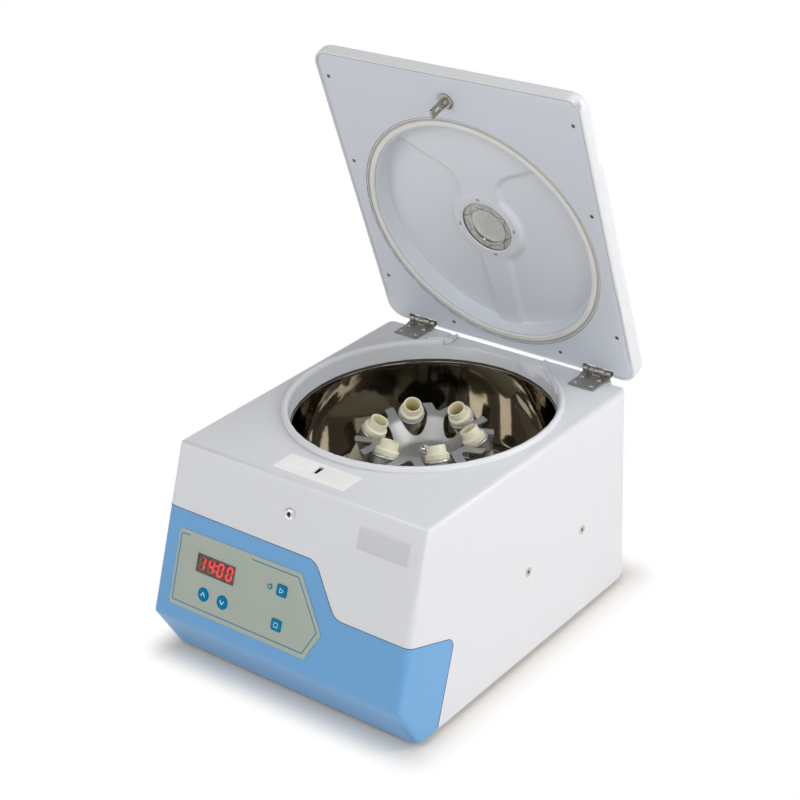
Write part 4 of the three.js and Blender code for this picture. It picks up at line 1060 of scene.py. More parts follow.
@dataclass(frozen=True)
class ShadeLinedMoulding:
    """A soft or clear moulding with painted shade: its darker colour where the mesh's value "inside" is 1."""

    name: str
    outside: Colour
    inside: Colour
    roughness: float = 0.42
    coat: float = 0.0
    coat_roughness: float = 0.05
    swing: float = 0.08
    mottle: float = 0.05
    cloud: Noise = Noise(40.0, 4.0)
    grain: Noise = Noise(700.0)
    relief: float = 8.0e-6

    def make(self) -> Material:
        """Builds the material."""
        shader = Shader(self.name)
        cloud = shader.noise(self.cloud)
        skin = shader.shaded(cloud, self.outside, self.mottle, self.mottle)
        shader.set(
            # painted shade: the value "inside" mixes in the darker colour
            Base_Color=shader.mixed(shader.attribute("inside"), skin, self.inside),
            Roughness=self.roughness + cloud * self.swing,
            Coat_Weight=self.coat, Coat_Roughness=self.coat_roughness,
        )
        shader.bumped(shader.noise(self.grain), self.relief)
        return shader.material


@dataclass(frozen=True)
class Rubber:
    """Moulded rubber with a dusty bloom."""

    name: str
    colour: Colour
    roughness: float = 0.75
    bloom: Noise = Noise(90.0, 4.0)
    darker: float = 0.08
    lighter: float = 0.12
    swing: float = 0.12
    grain: Noise = Noise(1100.0, 3.0)
    relief: float = 2.0e-5

    def make(self) -> Material:
        """Builds the material."""
        shader = Shader(self.name)
        bloom = shader.noise(self.bloom)
        shader.set(
            Base_Color=shader.shaded(bloom, self.colour, self.darker, self.lighter),
            Roughness=swung(self.roughness, self.swing, bloom),
        )
        shader.bumped(shader.noise(self.grain), self.relief)
        return shader.material


@dataclass(frozen=True)
class Ink:
    """Printed ink and painted shadow lines: nearly even, with the faint grain of the film below."""

    name: str
    colour: Colour
    roughness: float = 0.45
    grain: Noise = Noise(1800.0)
    mottle: float = 0.05
    swing: float = 0.06

    def make(self) -> Material:
        """Builds the material."""
        shader = Shader(self.name)
        grain = shader.noise(self.grain)
        shader.set(
            Base_Color=shader.shaded(grain, self.colour, self.mottle, self.mottle),
            Roughness=swung(self.roughness, self.swing, grain),
        )
        return shader.material


@dataclass(frozen=True)
class Glow:
    """A lit segment or lamp: its light is faintly clouded."""

    name: str
    colour: Colour
    strength: float = 1.0
    roughness: float = 0.4
    unlit: float = -0.5
    cloud: Noise = Noise(500.0, 1.0)
    mottle: float = 0.08

    def make(self) -> Material:
        """Builds the material."""
        shader = Shader(self.name)
        light = shader.shaded(shader.noise(self.cloud), self.colour, self.mottle, self.mottle)
        shader.set(
            Base_Color=tinted(self.colour, self.unlit), Emission_Color=light, Roughness=self.roughness,
            Emission_Strength=self.strength,
        )
        return shader.material


@dataclass(frozen=True)
class Clear:
    """Clear moulded plastic, slightly grey, with faint flow lines."""

    name: str
    colour: Colour
    roughness: float = 0.03
    swing: float = 0.03
    flow: Noise = Noise(45.0)
    mottle: float = 0.04
    bending: float = 1.49
    waves: Noise = Noise(160.0, 1.0)
    relief: float = 1.5e-5

    def make(self) -> Material:
        """Builds the material."""
        shader = Shader(self.name)
        flow = shader.noise(self.flow)
        shader.set(
            Base_Color=shader.shaded(flow, self.colour, self.mottle, self.mottle),
            Roughness=self.roughness + flow * self.swing,
            Transmission_Weight=1.0, IOR=self.bending,
        )
        shader.bumped(shader.noise(self.waves), self.relief)
        return shader.material


ALONG_AXIS = (700.0, 700.0, 60.0)
EVEN = (300.0, 300.0, 300.0)


class Finish(Enum):
    """Every finish on the object."""

    CASE = Enamel("case_white", (0.735, 0.755, 0.785), 0.36)
    LID_FACE = Enamel("lid_face_white", (0.64, 0.68, 0.745), 0.40)
    LINER = Enamel("liner_white", (0.705, 0.74, 0.795), 0.36, 0.006, 2.0e-6)
    SKIRT = Enamel("skirt_blue", (0.145, 0.385, 0.70), 0.34, 0.03, 2.0e-5)
    NAMEPLATE = Enamel("plate_silver", (0.61, 0.63, 0.66), 0.34)
    PLATE_EDGE = Enamel("plate_edge", (0.78, 0.79, 0.80), 0.3)
    LABEL = Moulding("label_white", (0.93, 0.94, 0.93), 0.35, 4.0e-6)
    BEZEL = Enamel("bezel_white", (0.70, 0.725, 0.77), 0.38)
    FILM = Moulding("overlay_film", (0.395, 0.45, 0.385), 0.42)
    TEAL = Moulding("teal_key", (0.003, 0.21, 0.415), 0.42, 1.0e-5, 0.05)
    TEAL_INK = Ink("teal_ink", (0.006, 0.20, 0.34))
    PALE_INK = Ink("pale_teal_ink", (0.25, 0.42, 0.46))
    WHITE_INK = Ink("white_ink", (0.80, 0.84, 0.86))
    # painted shadow along the lid seal's outer edge
    SHADOW_GREY = Ink("painted_shadow_grey", (0.16, 0.165, 0.17))
    LID_SEAM = Ink("lid_seam_grey", (0.33, 0.34, 0.36))
    WINDOW = Enamel("display_window", (0.095, 0.045, 0.024), 0.14)
    GHOST = Ink("unlit_segment", (0.19, 0.085, 0.03), 0.3)
    LIT = Glow("lit_segment", (0.84, 0.03, 0.04), 1.0)
    LAMP = Glow("status_lamp", (0.35, 0.40, 0.10), 0.6)
    BLACK = Moulding("black_plastic", (0.02, 0.02, 0.022), 0.42)
    RUBBER = Rubber("black_rubber", (0.018, 0.018, 0.019))
    # painted shade: the seal's darker colour is the shade in its groove
    SEAL = ShadeLinedMoulding("lid_seal", (0.77, 0.77, 0.74), (0.44, 0.45, 0.42))
    BOWL_SEAL = Rubber("bowl_seal_dark", (0.075, 0.065, 0.05), 0.5)
    # painted shade: the flutes' dark colour marks the shade along the scallops' edges
    FLUTES = ShadeLinedMoulding("fluted_ring", (0.56, 0.55, 0.50), (0.09, 0.085, 0.07), 0.12, 1.0)
    # painted shadow in the parting gap over the skirt
    SEAM_SHADOW = Ink("parting_shadow", (0.012, 0.02, 0.035), 0.7)
    BOARD = Moulding("board_green", (0.012, 0.10, 0.035), 0.5)
    STEEL = DrawnMetal("drawn_steel", (0.56, 0.545, 0.52), 0.34)
    LEAF = DrawnMetal("leaf_steel", (0.385, 0.37, 0.345), 0.40, (500.0, 60.0, 500.0), 2.0e-5, 0.16)
    BARREL = DrawnMetal("barrel_steel", (0.20, 0.185, 0.165), 0.26, ALONG_AXIS, 6.0e-6)
    SLEEVE = DrawnMetal("sleeve_steel", (0.47, 0.45, 0.41), 0.24, ALONG_AXIS, 6.0e-6)
    STRIKE = DrawnMetal("strike_steel", (0.40, 0.38, 0.33), 0.28, EVEN, 6.0e-6)
    DOME = DrawnMetal("domed_chrome", (0.80, 0.79, 0.77), 0.3, EVEN, 2.0e-6, 0.06)
    NICKEL = DrawnMetal("nickel", (0.62, 0.59, 0.53), 0.2, ALONG_AXIS, 6.0e-6)
    CHROME = DrawnMetal("chrome", (0.78, 0.77, 0.75), 0.1, EVEN, 2.0e-6, 0.06)
    BRASS = DrawnMetal("dark_brass", (0.22, 0.15, 0.09), 0.38, (500.0, 500.0, 500.0), 6.0e-6)
    ZINC = DrawnMetal("zinc_sheet", (0.50, 0.51, 0.52), 0.42, (90.0, 700.0, 700.0), 1.2e-5, 0.2)
    ALUMINIUM = TurnedMetal("etched_aluminium", (0.50, 0.505, 0.50), 0.5)
    COLLAR = DrawnMetal("collar_aluminium", (0.68, 0.685, 0.68), 0.3, (900.0, 900.0, 900.0), 6.0e-6)
    BOWL = SpunMirror("spun_steel", (0.44, 0.412, 0.36))
    # painted shade: the inside colour is the ochre shade down the bore
    TUBE = TubePlastic("cream_plastic", (0.88, 0.85, 0.66), (0.80, 0.70, 0.34))
    CLEAR = Clear("clear_window", (0.42, 0.42, 0.39))


_made: dict[Finish, Material] = {}


def material(finish: Finish) -> Material:
    """The material of a finish, made on first use.

    Args:
        finish: The finish.

    Returns:
        Its material.
    """
    if finish not in _made:
        _made[finish] = finish.value.make()
    return _made[finish]


# Pieces


def shown(name: str, data: bpy.types.ID) -> Object:
    """Puts a mesh, a lamp or a camera into the scene.

    Args:
        name: Name of the object.
        data: What it shows.

    Returns:
        The new object.
    """
    made = bpy.data.objects.new(name, data)
    bpy.context.scene.collection.objects.link(made)
    return made


def welded(mesh: bpy.types.Mesh, sharp: float, outward: bool = False, clean: bool = False) -> None:
    """Merges a mesh's doubles and shades it smooth between its sharp edges.

    Args:
        mesh: The mesh.
        sharp: Edges that turn more than this many degrees stay sharp.
        outward: Whether the faces are turned outward after doubles are merged.
        clean: Whether faces without area are dissolved too.
    """
    work = bmesh.new()
    work.from_mesh(mesh)
    bmesh.ops.remove_doubles(work, verts=work.verts, dist=WELD)
    if clean:
        bmesh.ops.dissolve_degenerate(work, edges=work.edges, dist=WELD / 4)
    if outward:
        bmesh.ops.recalc_face_normals(work, faces=work.faces)
    work.to_mesh(mesh)
    work.free()
    mesh.polygons.foreach_set("use_smooth", np.ones(len(mesh.polygons), bool))
    mesh.set_sharp_from_angle(angle=math.radians(sharp))


def bevelled(made: Object, width: float, angle: float) -> None:
    """Rounds an object's sharp edges.

    Args:
        made: The object.
        width: Width of the bevel in millimetres.
        angle: Edges that turn more than this many degrees get it.
    """
    edge = made.modifiers.new("edge", "BEVEL")
    edge.width = width * MM
    edge.segments = 2
    edge.limit_method = "ANGLE"
    edge.angle_limit = math.radians(angle)


def weighted(made: Object) -> None:
    """Lets large flat faces set the shading of the round edges beside them.

    Args:
        made: The object.
    """
    modifier = made.modifiers.new("weighted", "WEIGHTED_NORMAL")
    modifier.keep_sharp = True
    modifier.weight = 80


def settle(
    made: Object, body: str, finish: Finish, replaces: Sequence[str] = ()
) -> Object:
    """Dresses a piece and hands it to its body.

    Args:
        made: The object.
        body: The body it rides on.
        finish: Its finish.
        replaces: CAD nodes that it stands for.

    Returns:
        The same object.
    """
    made.data.materials.clear()
    made.data.materials.append(material(finish))
    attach(made, body)
    if replaces:
        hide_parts(*replaces)
    log.info("piece %s on %s: %d faces", made.name, body, len(made.data.polygons))
    return made


def build(
    name: str, shape: Shape, body: str, finish: Finish,
    replaces: Sequence[str] = (), sharp: float = 35.0, outward: bool = True,
) -> Object:
    """Makes a piece from a shape.

    Args:
        name: Name of the piece.
        shape: Its points and faces.
        body: The body it rides on.
        finish: Its finish.
        replaces: CAD nodes that it stands for.
        sharp: Edges that turn more than this many degrees stay sharp.
        outward: Whether the faces are turned outward after doubles are merged.

    Returns:
        The object.
    """
    mesh = bpy.data.meshes.new(name)
    mesh.from_pydata(shape.points.tolist(), [], shape.faces)
    for key, values in (shape.values or {}).items():
        layer = mesh.attributes.new(key, "FLOAT", "POINT")
        layer.data.foreach_set("value", np.asarray(values, np.float32))
    welded(mesh, sharp, outward, clean=True)
    return settle(shown(name, mesh), body, finish, replaces)


def smoothed(
    node: str, name: str, finish: Finish, bevel: float = 0.0, sharp: float = 38.0
) -> Object:
    """A finer skin of a CAD node: its welded copy with fine edges and with smooth shading round its bends.

    Args:
        node: The CAD node.
        name: Name of the piece.
        finish: Its finish.
        bevel: Width of the fine bevel on its sharp edges, in millimetres.
        sharp: Edges that turn more than this many degrees stay sharp.

    Returns:
        The object.
    """
    mesh = frame["nodes"][node].data.copy()
    mesh.name = name
    welded(mesh, sharp)
    made = shown(name, mesh)
    if bevel:
        bevelled(made, bevel, 55)
    weighted(made)
    return settle(made, body_of(node), finish, (node,))


def body_of(node: str) -> str:
    """The body that carries a CAD node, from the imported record."""
    bodies = frame["record"]["behaviour"]["bodies"]
    return next(name for name, nodes in bodies.items() if node in nodes)


def dress(node: str, finish: Finish) -> None:
    """Gives a carried-over CAD node its finish.

    Args:
        node: The CAD node.
        finish: Its finish.
    """
    for slot in frame["nodes"][node].material_slots:
        slot.material = material(finish)
    log.info("node %s dressed as %s", node, finish.name)


# Case


@dataclass
class Case:
    """The white cover, blue skirt, base, feet and the small things fastened to them.

    Faces are corners (radius, height, rounding). A span of four numbers is left, right, low and high, and one
    of two is low and high.
    """

    feet: int = 4
    release: Pair = (-4.0, 154.1)
    ring_bore: float = 2.4
    ring_stem: float = 4.7
    ring_face: Corners = ((6.5, -1.2), (6.5, -0.1, 1.0), (3.4, 1.15, 1.0), (2.4, 0.5, 0.5), (2.4, -3.0))
    core_gap: float = 0.02
    core_span: Pair = (-6.4, -3.6)
    side_screws: Corners = ((224.4, 100.2), (325.1, 100.7))
    washer_bore: float = 1.9
    washer_face: Corners = ((5.2, -0.4), (5.2, 0.35, 0.3), (3.6, 0.95, 0.8), (1.9, 0.2, 0.2))
    side_screw: ScrewHead = ScrewHead(1.85, 0.5)
    screw_sink: float = 0.1
    skirt_high: float = 118.0
    skirt_low: float = 68.0
    skirt_depth: float = 77.0
    skirt_foot: float = -27.0
    skirt_bend: float = 11.0
    skirt_step: Pair = (37.2, 71.6)
    step_bend: float = 18.0
    seam_gap: float = 0.2
    seam_radius: float = 0.33
    lips: tuple[tuple[str, float, float, float, float, float], ...] = (
        ("left", -140.0, -80.6, 0.0, 9.0, 0.0), ("middle", -80.6, 50.0, 1.2, 0.0, 0.0),
        ("right", 50.0, 140.0, 0.0, 0.0, 9.0),
    )
    lip_reach: Pair = (411.0, 427.2)
    lip_foot: float = -9.0
    lip_edge: float = 1.6
    lip_proud: float = 0.03
    ridge_paths: tuple[tuple[str, Corners, Corners], ...] = (
        ("left", ((-88.0, 393.9), (-66.8, 405.9, 6), (-71.5, 426.0)), ((7.8, 4.4), (6.4, 1.3))),
        (
            "right", ((106.0, 366.0), (97.0, 377.0, 6), (58.0, 414.0, 6), (50.0, 426.0)),
            ((5.0, 4.0), (4.0, 1.2)),
        ),
    )
    ridge_fall: Pair = (0.36, 0.85)
    ridge_steps: int = 60
    ridge_sides: int = 15
    plate_span: Box = (82.6, 146.1, 144.3, 168.7)
    plate_thickness: float = 0.45
    plate_rim: float = 0.3
    label_span: Box = (-45.5, 47.4, 76.5, 107.7)
    label_thickness: float = 0.14
    strike_slot: Box = (-3.0, 3.0, 88.5, 102.2)

    def make(self) -> None:
        """Builds every piece of the case."""
        smoothed("top_cover", "cover_skin", Finish.CASE)
        smoothed("front_skirt", "skirt_skin", Finish.SKIRT)
        smoothed("base_plate", "base_skin", Finish.ZINC)
        for number in range(1, self.feet + 1):
            smoothed(f"foot_{number}", f"foot_skin_{number}", Finish.RUBBER)
        self.release_ring()
        self.side_fasteners()
        self.plates()
        self.seam()
        self.rear_lip()
        self.ridges()

    def release_ring(self) -> None:
        """The lock's release hole: a domed chrome ring with a deep dark bore."""
        low, high = reach("release_grommet", PANEL)
        place = PANEL.moved(*self.release, high[2])
        foot, brim = low[2] - high[2], self.ring_face[0]
        profile = np.concatenate([
            [[self.ring_bore, foot], [self.ring_stem, foot], [self.ring_stem, brim[1]], brim],
            rounded(self.ring_face, 5, closed=False)[1:],
        ])
        ring = revolved(place, profile, 64)
        build("release_ring", ring, "housing", Finish.DOME, ("release_grommet",))
        core = slab(place, circle(0, 0, self.ring_bore - self.core_gap, 32), *self.core_span)
        build("release_core", core, "housing", Finish.BLACK)

    def side_fasteners(self) -> None:
        """Recessed screws with dished washers on both sides."""
        brim = self.washer_face[0]
        face = rounded(self.washer_face, 4, closed=False)
        profile = np.concatenate([[[self.washer_bore, brim[1]]], face])
        for side, place, way in (("right", RIGHT_SIDE, 1), ("left", LEFT_SIDE, -1)):
            for number, (y, z) in enumerate(self.side_screws, 1):
                spot = place.moved(way * y, z, 0.0)
                washer = revolved(spot, profile, 48)
                build(f"side_washer_{side}_{number}", washer, "housing", Finish.NICKEL)
                head = self.side_screw.shape(spot.moved(z=-self.screw_sink))
                build(f"side_screw_{side}_{number}", head, "housing", Finish.BLACK)

    def seam(self) -> None:
        """Painted shadow in the parting gap over the skirt, down both sides: a dark wire along the gap.

        The path is drawn as x, height up the slope and depth behind it, and each corner is an arc.
        """
        edge, corner, gap, foot = CASE_HALF_WIDTH, CASE_CORNER, self.seam_gap, self.skirt_foot
        high, low, depth = self.skirt_high + gap, self.skirt_low + gap, self.skirt_depth + gap
        start, end = (x + gap for x in self.skirt_step)
        bend = self.step_bend
        step = rounded([(-1.0, high), (start, high, bend), (end, low, bend), (100.0, low)], 12, False)
        left = rounded([(depth, foot), (depth, high, self.skirt_bend), (corner, high)], 8, False)
        right = rounded([(corner, low), (depth, low, self.skirt_bend), (depth, foot)], 8, False)
        turn = np.linspace(0, math.pi / 2, 7)[1:-1]
        across, inward = corner * np.sin(turn), corner * (1 - np.cos(turn))
        path = np.concatenate([
            np.stack([np.full(len(left), -edge), left[:, 1], left[:, 0]], axis=1),
            np.stack([-edge + corner - across[::-1], np.full(len(turn), high), inward[::-1]], axis=1),
            [[-edge + corner, high, 0.0]],
            np.stack([step[:, 0], step[:, 1], 0 * step[:, 0]], axis=1),
            [[edge - corner, low, 0.0]],
            np.stack([edge - corner + across, np.full(len(turn), low), inward], axis=1),
            np.stack([np.full(len(right), edge), right[:, 1], right[:, 0]], axis=1),
        ])
        points = PANEL.at(path[:, 0], path[:, 1], -path[:, 2])
        # painted shadow: the dark wire stands for the shade inside the parting gap
        build("parting_gap_shadow", tube(points, self.seam_radius, 8), "housing", Finish.SEAM_SHADOW)

    def rear_lip(self) -> None:
        """The rolled rear edge of the deck, lower by a step where the channel runs out."""
        near, far = self.lip_reach
        for name, left, right, drop, left_bend, right_bend in self.lips:
            corners = [(left, near), (right, near), (right, far, right_bend), (left, far, left_bend)]
            top = self.lip_proud - drop
            lip = slab(DECK, rounded(corners, 8), self.lip_foot, top, edge=self.lip_edge, steps=4)
            build(f"rear_lip_{name}", lip, "housing", Finish.CASE)

    def ridges(self) -> None:
        """The soft ridges that border the channel, from the bead to the rear edge.

        Each is a half ellipse square to its path. Its width shrinks evenly along it, its height smoothly.
        """
        sides = self.ridge_sides
        for name, corners, (widths, heights) in self.ridge_paths:
            path = rounded(corners, 10, closed=False)
            gone = np.concatenate([[0.0], np.cumsum(np.linalg.norm(np.diff(path, axis=0), axis=1))])
            places = np.linspace(0, gone[-1], self.ridge_steps)
            line = np.stack([np.interp(places, gone, path[:, axis]) for axis in (0, 1)], axis=1)
            ahead = np.gradient(line, axis=0)
            ahead /= np.linalg.norm(ahead, axis=1, keepdims=True)
            share = np.linspace(0, 1, len(line))[:, None]
            width = widths[0] + (widths[1] - widths[0]) * share
            height = heights[0] + (heights[1] - heights[0]) * ease(*self.ridge_fall, share)
            turns = np.linspace(-0.1, math.pi + 0.1, sides)[None]
            offset = width / 2 * np.cos(turns)
            x = line[:, :1] + ahead[:, 1:] * offset
            y = line[:, 1:] - ahead[:, :1] * offset
            z = height * np.sin(turns)
            faces = grid_faces(len(line), sides, False, True).tolist()
            faces += [list(range(sides))[::-1], list(range((len(line) - 1) * sides, len(line) * sides))]
            ridge = Shape(DECK.at(x, y, z), faces)
            build(f"channel_ridge_{name}", ridge, "housing", Finish.CASE, (), 60.0)

    def plates(self) -> None:
        """The bare name plate on the slope and the bare label on the deck, with the strike's slot in it."""
        left, right, low, high = self.plate_span
        plate = slab(PANEL, box_outline(left, right, low, high, 1.2), 0.02, self.plate_thickness, edge=0.1)
        build("name_plate", plate, "housing", Finish.NAMEPLATE)
        inset = self.plate_rim
        outline = box_outline(left + inset, right - inset, low + inset, high - inset, 1.0)
        rim = ribbon(PANEL, outline, 0.8, 0.3, self.plate_thickness + 0.1, closed=True)
        build("name_plate_edge", rim, "housing", Finish.PLATE_EDGE)
        slot = box_outline(*self.strike_slot, 0.3)
        label = slab(DECK, box_outline(*self.label_span, 0.8), 0.01, self.label_thickness, [slot], 0.06)
        build("deck_label", label, "housing", Finish.LABEL)


# Control panel


@dataclass
class ControlPanel:
    """Film, display, keys and lamp on the blue skirt."""

    film: Corners = ((-143, 16.4, 4), (43.6, 16.4, 4), (59.7, 47.5, 4), (23.5, 100.6, 4), (-143, 98.8, 4))
    line: Corners = (
        (-42.0, 94.95), (20.8, 95.5, 2), (53.7, 48.2, 1.5), (39.9, 21.7, 1.5), (-139.2, 21.5, 2),
        (-139.4, 94.0, 2), (-128.0, 94.1),
    )
    line_width: float = 1.2
    ink: Pair = (-0.02, 0.04)
    window: Box = (-113.4, -61.0, 60.0, 80.0)
    window_gap: float = 0.2
    window_lines: tuple[float, ...] = (1.3, 2.5)
    window_line_width: float = 0.4
    arrows: tuple[tuple[str, float, float, int], ...] = (("up", -97.9, 38.7, 1), ("down", -71.4, 38.7, -1))
    arrow_radius: float = 6.2
    arrow_hole: float = 6.35
    arrow_ring: Pair = (7.0, 1.3)
    keys: tuple[tuple[str, float, float], ...] = (("start", 2.5, 75.4), ("stop", 2.5, 39.0))
    key_half: Pair = (6.5, 6.0)
    key_gap: float = 0.4
    key_root: float = -3.3
    stem_radius: float = 1.8
    collar_low: float = -3.4
    collar_high: float = -3.1
    collar_width: float = 0.6
    lamp: Pair = (-13.1, 75.3)
    lamp_radius: float = 2.4
    lamp_hole: float = 2.7
    lamp_ring: Pair = (2.05, 1.5)
    digit_height: float = 15.9
    digit_width: float = 9.0
    digit_pitch: float = 12.7
    digit_bars: tuple[str, ...] = ("bc", "bcfg", "abcdef", "abcdef")
    bar_gap: float = 0.3
    colon: Pair = (2.9, 0.95)
    stroke: float = 2.5
    slant: float = math.tan(math.radians(8))

    def make(self) -> None:
        """Builds every piece of the panel."""
        self.overlay()
        self.display()
        self.round_keys()
        self.square_keys()
        self.status_lamp()

    def overlay(self) -> None:
        """The film with its openings, and the lines printed on it."""
        low, high = reach("control_overlay", PANEL)
        top = high[2]
        half_x, half_y = (half + self.key_gap for half in self.key_half)
        holes = [grown_box(self.window, self.window_gap, 0.8)]
        holes += [circle(x, s, self.arrow_hole, 48) for _, x, s, _ in self.arrows]
        holes += [box_outline(x - half_x, x + half_x, s - half_y, s + half_y, 2.3) for _, x, s in self.keys]
        holes += [circle(*self.lamp, self.lamp_hole, 32)]
        film = slab(PANEL, rounded(self.film, 8), low[2], top, holes, 0.15, 2)
        build("overlay_film", film, "housing", Finish.FILM, ("control_overlay",))
        under, over = (top + level for level in self.ink)
        border = ribbon(PANEL, rounded(self.line, 5, closed=False), self.line_width, under, over)
        build("overlay_line", border, "housing", Finish.TEAL_INK)
        radius, width = self.arrow_ring
        for name, x, s, _ in self.arrows:
            ring = ribbon(PANEL, circle(x, s, radius, 48), width, under, over, closed=True)
            build(f"key_ring_{name}", ring, "housing", Finish.TEAL)
        for number, grown in enumerate(self.window_lines, 1):
            outline = grown_box(self.window, grown, 1.0 + grown)
            line = ribbon(PANEL, outline, self.window_line_width, under, top + 0.03, closed=True)
            build(f"window_line_{number}", line, "housing", Finish.PALE_INK)

    def segment(self, x: float, y: float, length: float, upright: bool) -> Outline:
        """One bar of a digit: a long hexagon, before the slant.

        Args:
            x: Middle of the bar.
            y: Middle of the bar.
            length: Length from tip to tip.
            upright: Whether it stands up instead of lying across.

        Returns:
            Its outline.
        """
        half, tip = self.stroke / 2, length / 2
        flat = tip - half
        corners = np.array([(-tip, 0), (-flat, -half), (flat, -half), (tip, 0), (flat, half), (-flat, half)])
        return (corners[:, ::-1] if upright else corners) + (x, y)

    def digit(self, x: float, lit: str) -> tuple[list[Outline], list[Outline]]:
        """Lit and unlit bars of one digit.

        Args:
            x: Middle of the digit.
            lit: Letters of its lit bars, a to g clockwise from the top, then the middle.

        Returns:
            The outlines of the lit and of the unlit bars.
        """
        middle = (self.window[2] + self.window[3]) / 2
        across = self.digit_width - self.stroke
        rise = (self.digit_height - self.stroke) / 2
        bars = {
            "a": (0, rise, across, False), "g": (0, 0, across, False), "d": (0, -rise, across, False),
            "b": (across / 2, rise / 2, rise, True), "c": (across / 2, -rise / 2, rise, True),
            "f": (-across / 2, rise / 2, rise, True), "e": (-across / 2, -rise / 2, rise, True),
        }
        shown_bars, dark_bars = [], []
        for name, (dx, dy, length, upright) in bars.items():
            outline = self.segment(dx, dy, length - self.bar_gap, upright)
            outline[:, 0] += outline[:, 1] * self.slant
            (shown_bars if name in lit else dark_bars).append(outline + (x, middle))
        return shown_bars, dark_bars

    def display(self) -> None:
        """The dark window with four digits and a colon just under its face."""
        low, high = reach("display_window", PANEL)
        face = high[2]
        glass = slab(PANEL, box_outline(*self.window, 0.4), low[2], face, edge=0.15)
        build("display_glass", glass, "housing", Finish.WINDOW, ("display_window",))
        lit_bars, dark_bars = [], []
        centre = (self.window[0] + self.window[1]) / 2
        first = (1 - len(self.digit_bars)) / 2
        for index, bars in enumerate(self.digit_bars):
            lit, dark = self.digit(centre + (first + index) * self.digit_pitch, bars)
            lit_bars += lit
            dark_bars += dark
        middle = (self.window[2] + self.window[3]) / 2
        rise, radius = self.colon
        for dy in (-rise, rise):
            lit_bars.append(circle(centre + dy * self.slant, middle + dy, radius, 24))
        groups = (("lit_digits", lit_bars, Finish.LIT), ("unlit_digits", dark_bars, Finish.GHOST))
        for name, bars, finish in groups:
            shapes = [slab(PANEL, bar, face - 0.02, face + 0.05) for bar in bars]
            build(name, shapes[0].joined(*shapes[1:]), "housing", finish)

    def round_keys(self) -> None:
        """The two round keys with their chevrons."""
        radius, stem, brim = self.arrow_radius, self.stem_radius, self.arrow_radius + self.collar_width
        for name, x, s, way in self.arrows:
            node, body = f"button_{name}", f"{name}_button"
            low, high = reach(node, PANEL)
            place = PANEL.moved(x, s, 0.0)
            foot, top = low[2], high[2]
            face = [(radius, self.collar_high), (radius, top - 0.1, 0.5), (radius - 1.2, top, 0.6), (0, top)]
            profile = np.concatenate([
                [[0.0, foot], [stem, foot], [stem, self.collar_low], [brim, self.collar_low]],
                [[brim, self.collar_high]],
                rounded(face, 5, closed=False),
            ])
            key = revolved(place, profile, 64, closed=False)
            build(f"key_{name}", key, body, Finish.TEAL, (node,))
            arm = rounded([(-2.7, -1.75 * way), (0.0, 2.2 * way, 0.3), (2.7, -1.75 * way)], 3, closed=False)
            mark = ribbon(place, arm, 0.95, top - 0.18, top + 0.02)
            build(f"chevron_{name}", mark, body, Finish.WHITE_INK)

    def square_keys(self) -> None:
        """The start and stop keys, with a plain triangle and a plain square."""
        half_x, half_y = self.key_half
        marks = {
            "start": rounded([(-2.0, -2.6, 0.4), (2.9, 0.0, 0.4), (-2.0, 2.6, 0.4)], 3),
            "stop": box_outline(-2.3, 2.3, -2.3, 2.3, 0.5, 3),
        }
        for name, x, s in self.keys:
            node, body = f"button_{name}", f"{name}_button"
            low, high = reach(node, PANEL)
            place = PANEL.moved(x, s, 0.0)
            top = high[2]
            outline = box_outline(-half_x, half_x, -half_y, half_y, 2.0)
            cap = slab(place, outline, self.key_root, top, edge=0.7, steps=5)
            stem = slab(place, circle(0, 0, self.stem_radius, 24), low[2], self.key_root)
            build(f"key_{name}", cap.joined(stem), body, Finish.TEAL, (node,))
            mark = ribbon(place, marks[name], 0.55, top - 0.03, top + 0.02, closed=True)
            build(f"mark_{name}", mark, body, Finish.WHITE_INK)

    def status_lamp(self) -> None:
        """The small lamp: a domed lens in a printed ring."""
        low, high = reach("status_led", PANEL)
        place = PANEL.moved(*self.lamp, 0.0)
        foot, top, radius = low[2], high[2], self.lamp_radius
        face = [(radius, foot), (radius, top - 0.2, 0.2), (radius / 2, top, 0.9), (0.0, top)]
        profile = np.concatenate([[[0.0, foot], face[0]], rounded(face, 5, closed=False)[1:]])
        lens = revolved(place, profile, 40, closed=False)
        build("lamp_lens", lens, "housing", Finish.LAMP, ("status_led",))
        film_top = reach("control_overlay", PANEL)[1][2]
        ring_radius, width = self.lamp_ring
        outline = circle(*self.lamp, ring_radius, 40)
        under, over = film_top + self.ink[0], max(film_top, top) + self.ink[1]
        ring = ribbon(PANEL, outline, width, under, over, closed=True)
        build("lamp_ring", ring, "housing", Finish.TEAL_INK)


# Bowl and rotor


@dataclass
class Bowl:
    """The spun steel bowl and the seal on its rim."""

    radius: float = 142.5
    sheet: float = 1.5
    fillet: float = 25.0
    floor: float = 91.8
    underside: float = 90.3
    rim_top: float = 210.2
    rim_radius: float = 150.0
    rim_edge: float = 0.5
    hole: float = 20.0
    wall_inset: float = 4.0
    floor_inset: float = 6.0

    def make(self) -> None:
        """Builds the bowl and its seal."""
        centre = (self.radius - self.fillet, self.floor + self.fillet)
        outside = self.fillet + self.sheet
        lip, edge = self.rim_top - self.sheet, self.rim_edge
        high, low = self.rim_top - self.wall_inset, centre[1] + self.wall_inset
        outer, inner = centre[0] - self.floor_inset, self.hole + self.floor_inset
        profile = np.concatenate([
            [[self.hole, self.underside]],
            arc(*centre, outside, -90, 0, 14),
            [[self.radius + self.sheet, lip], [self.rim_radius, lip], [self.rim_radius, self.rim_top]],
            arc(self.radius + edge, self.rim_top - edge, edge, 90, 180, 3),
            np.linspace((self.radius, high), (self.radius, low), 12),
            arc(*centre, self.fillet, 0, -90, 14),
            np.linspace((outer, self.floor), (inner, self.floor), 10),
            [[self.hole, self.floor]],
        ])
        build("bowl_skin", revolved(SPIN, profile, 192), "housing", Finish.BOWL, ("bowl",))
        smoothed("bowl_gasket", "bowl_seal", Finish.BOWL_SEAL)


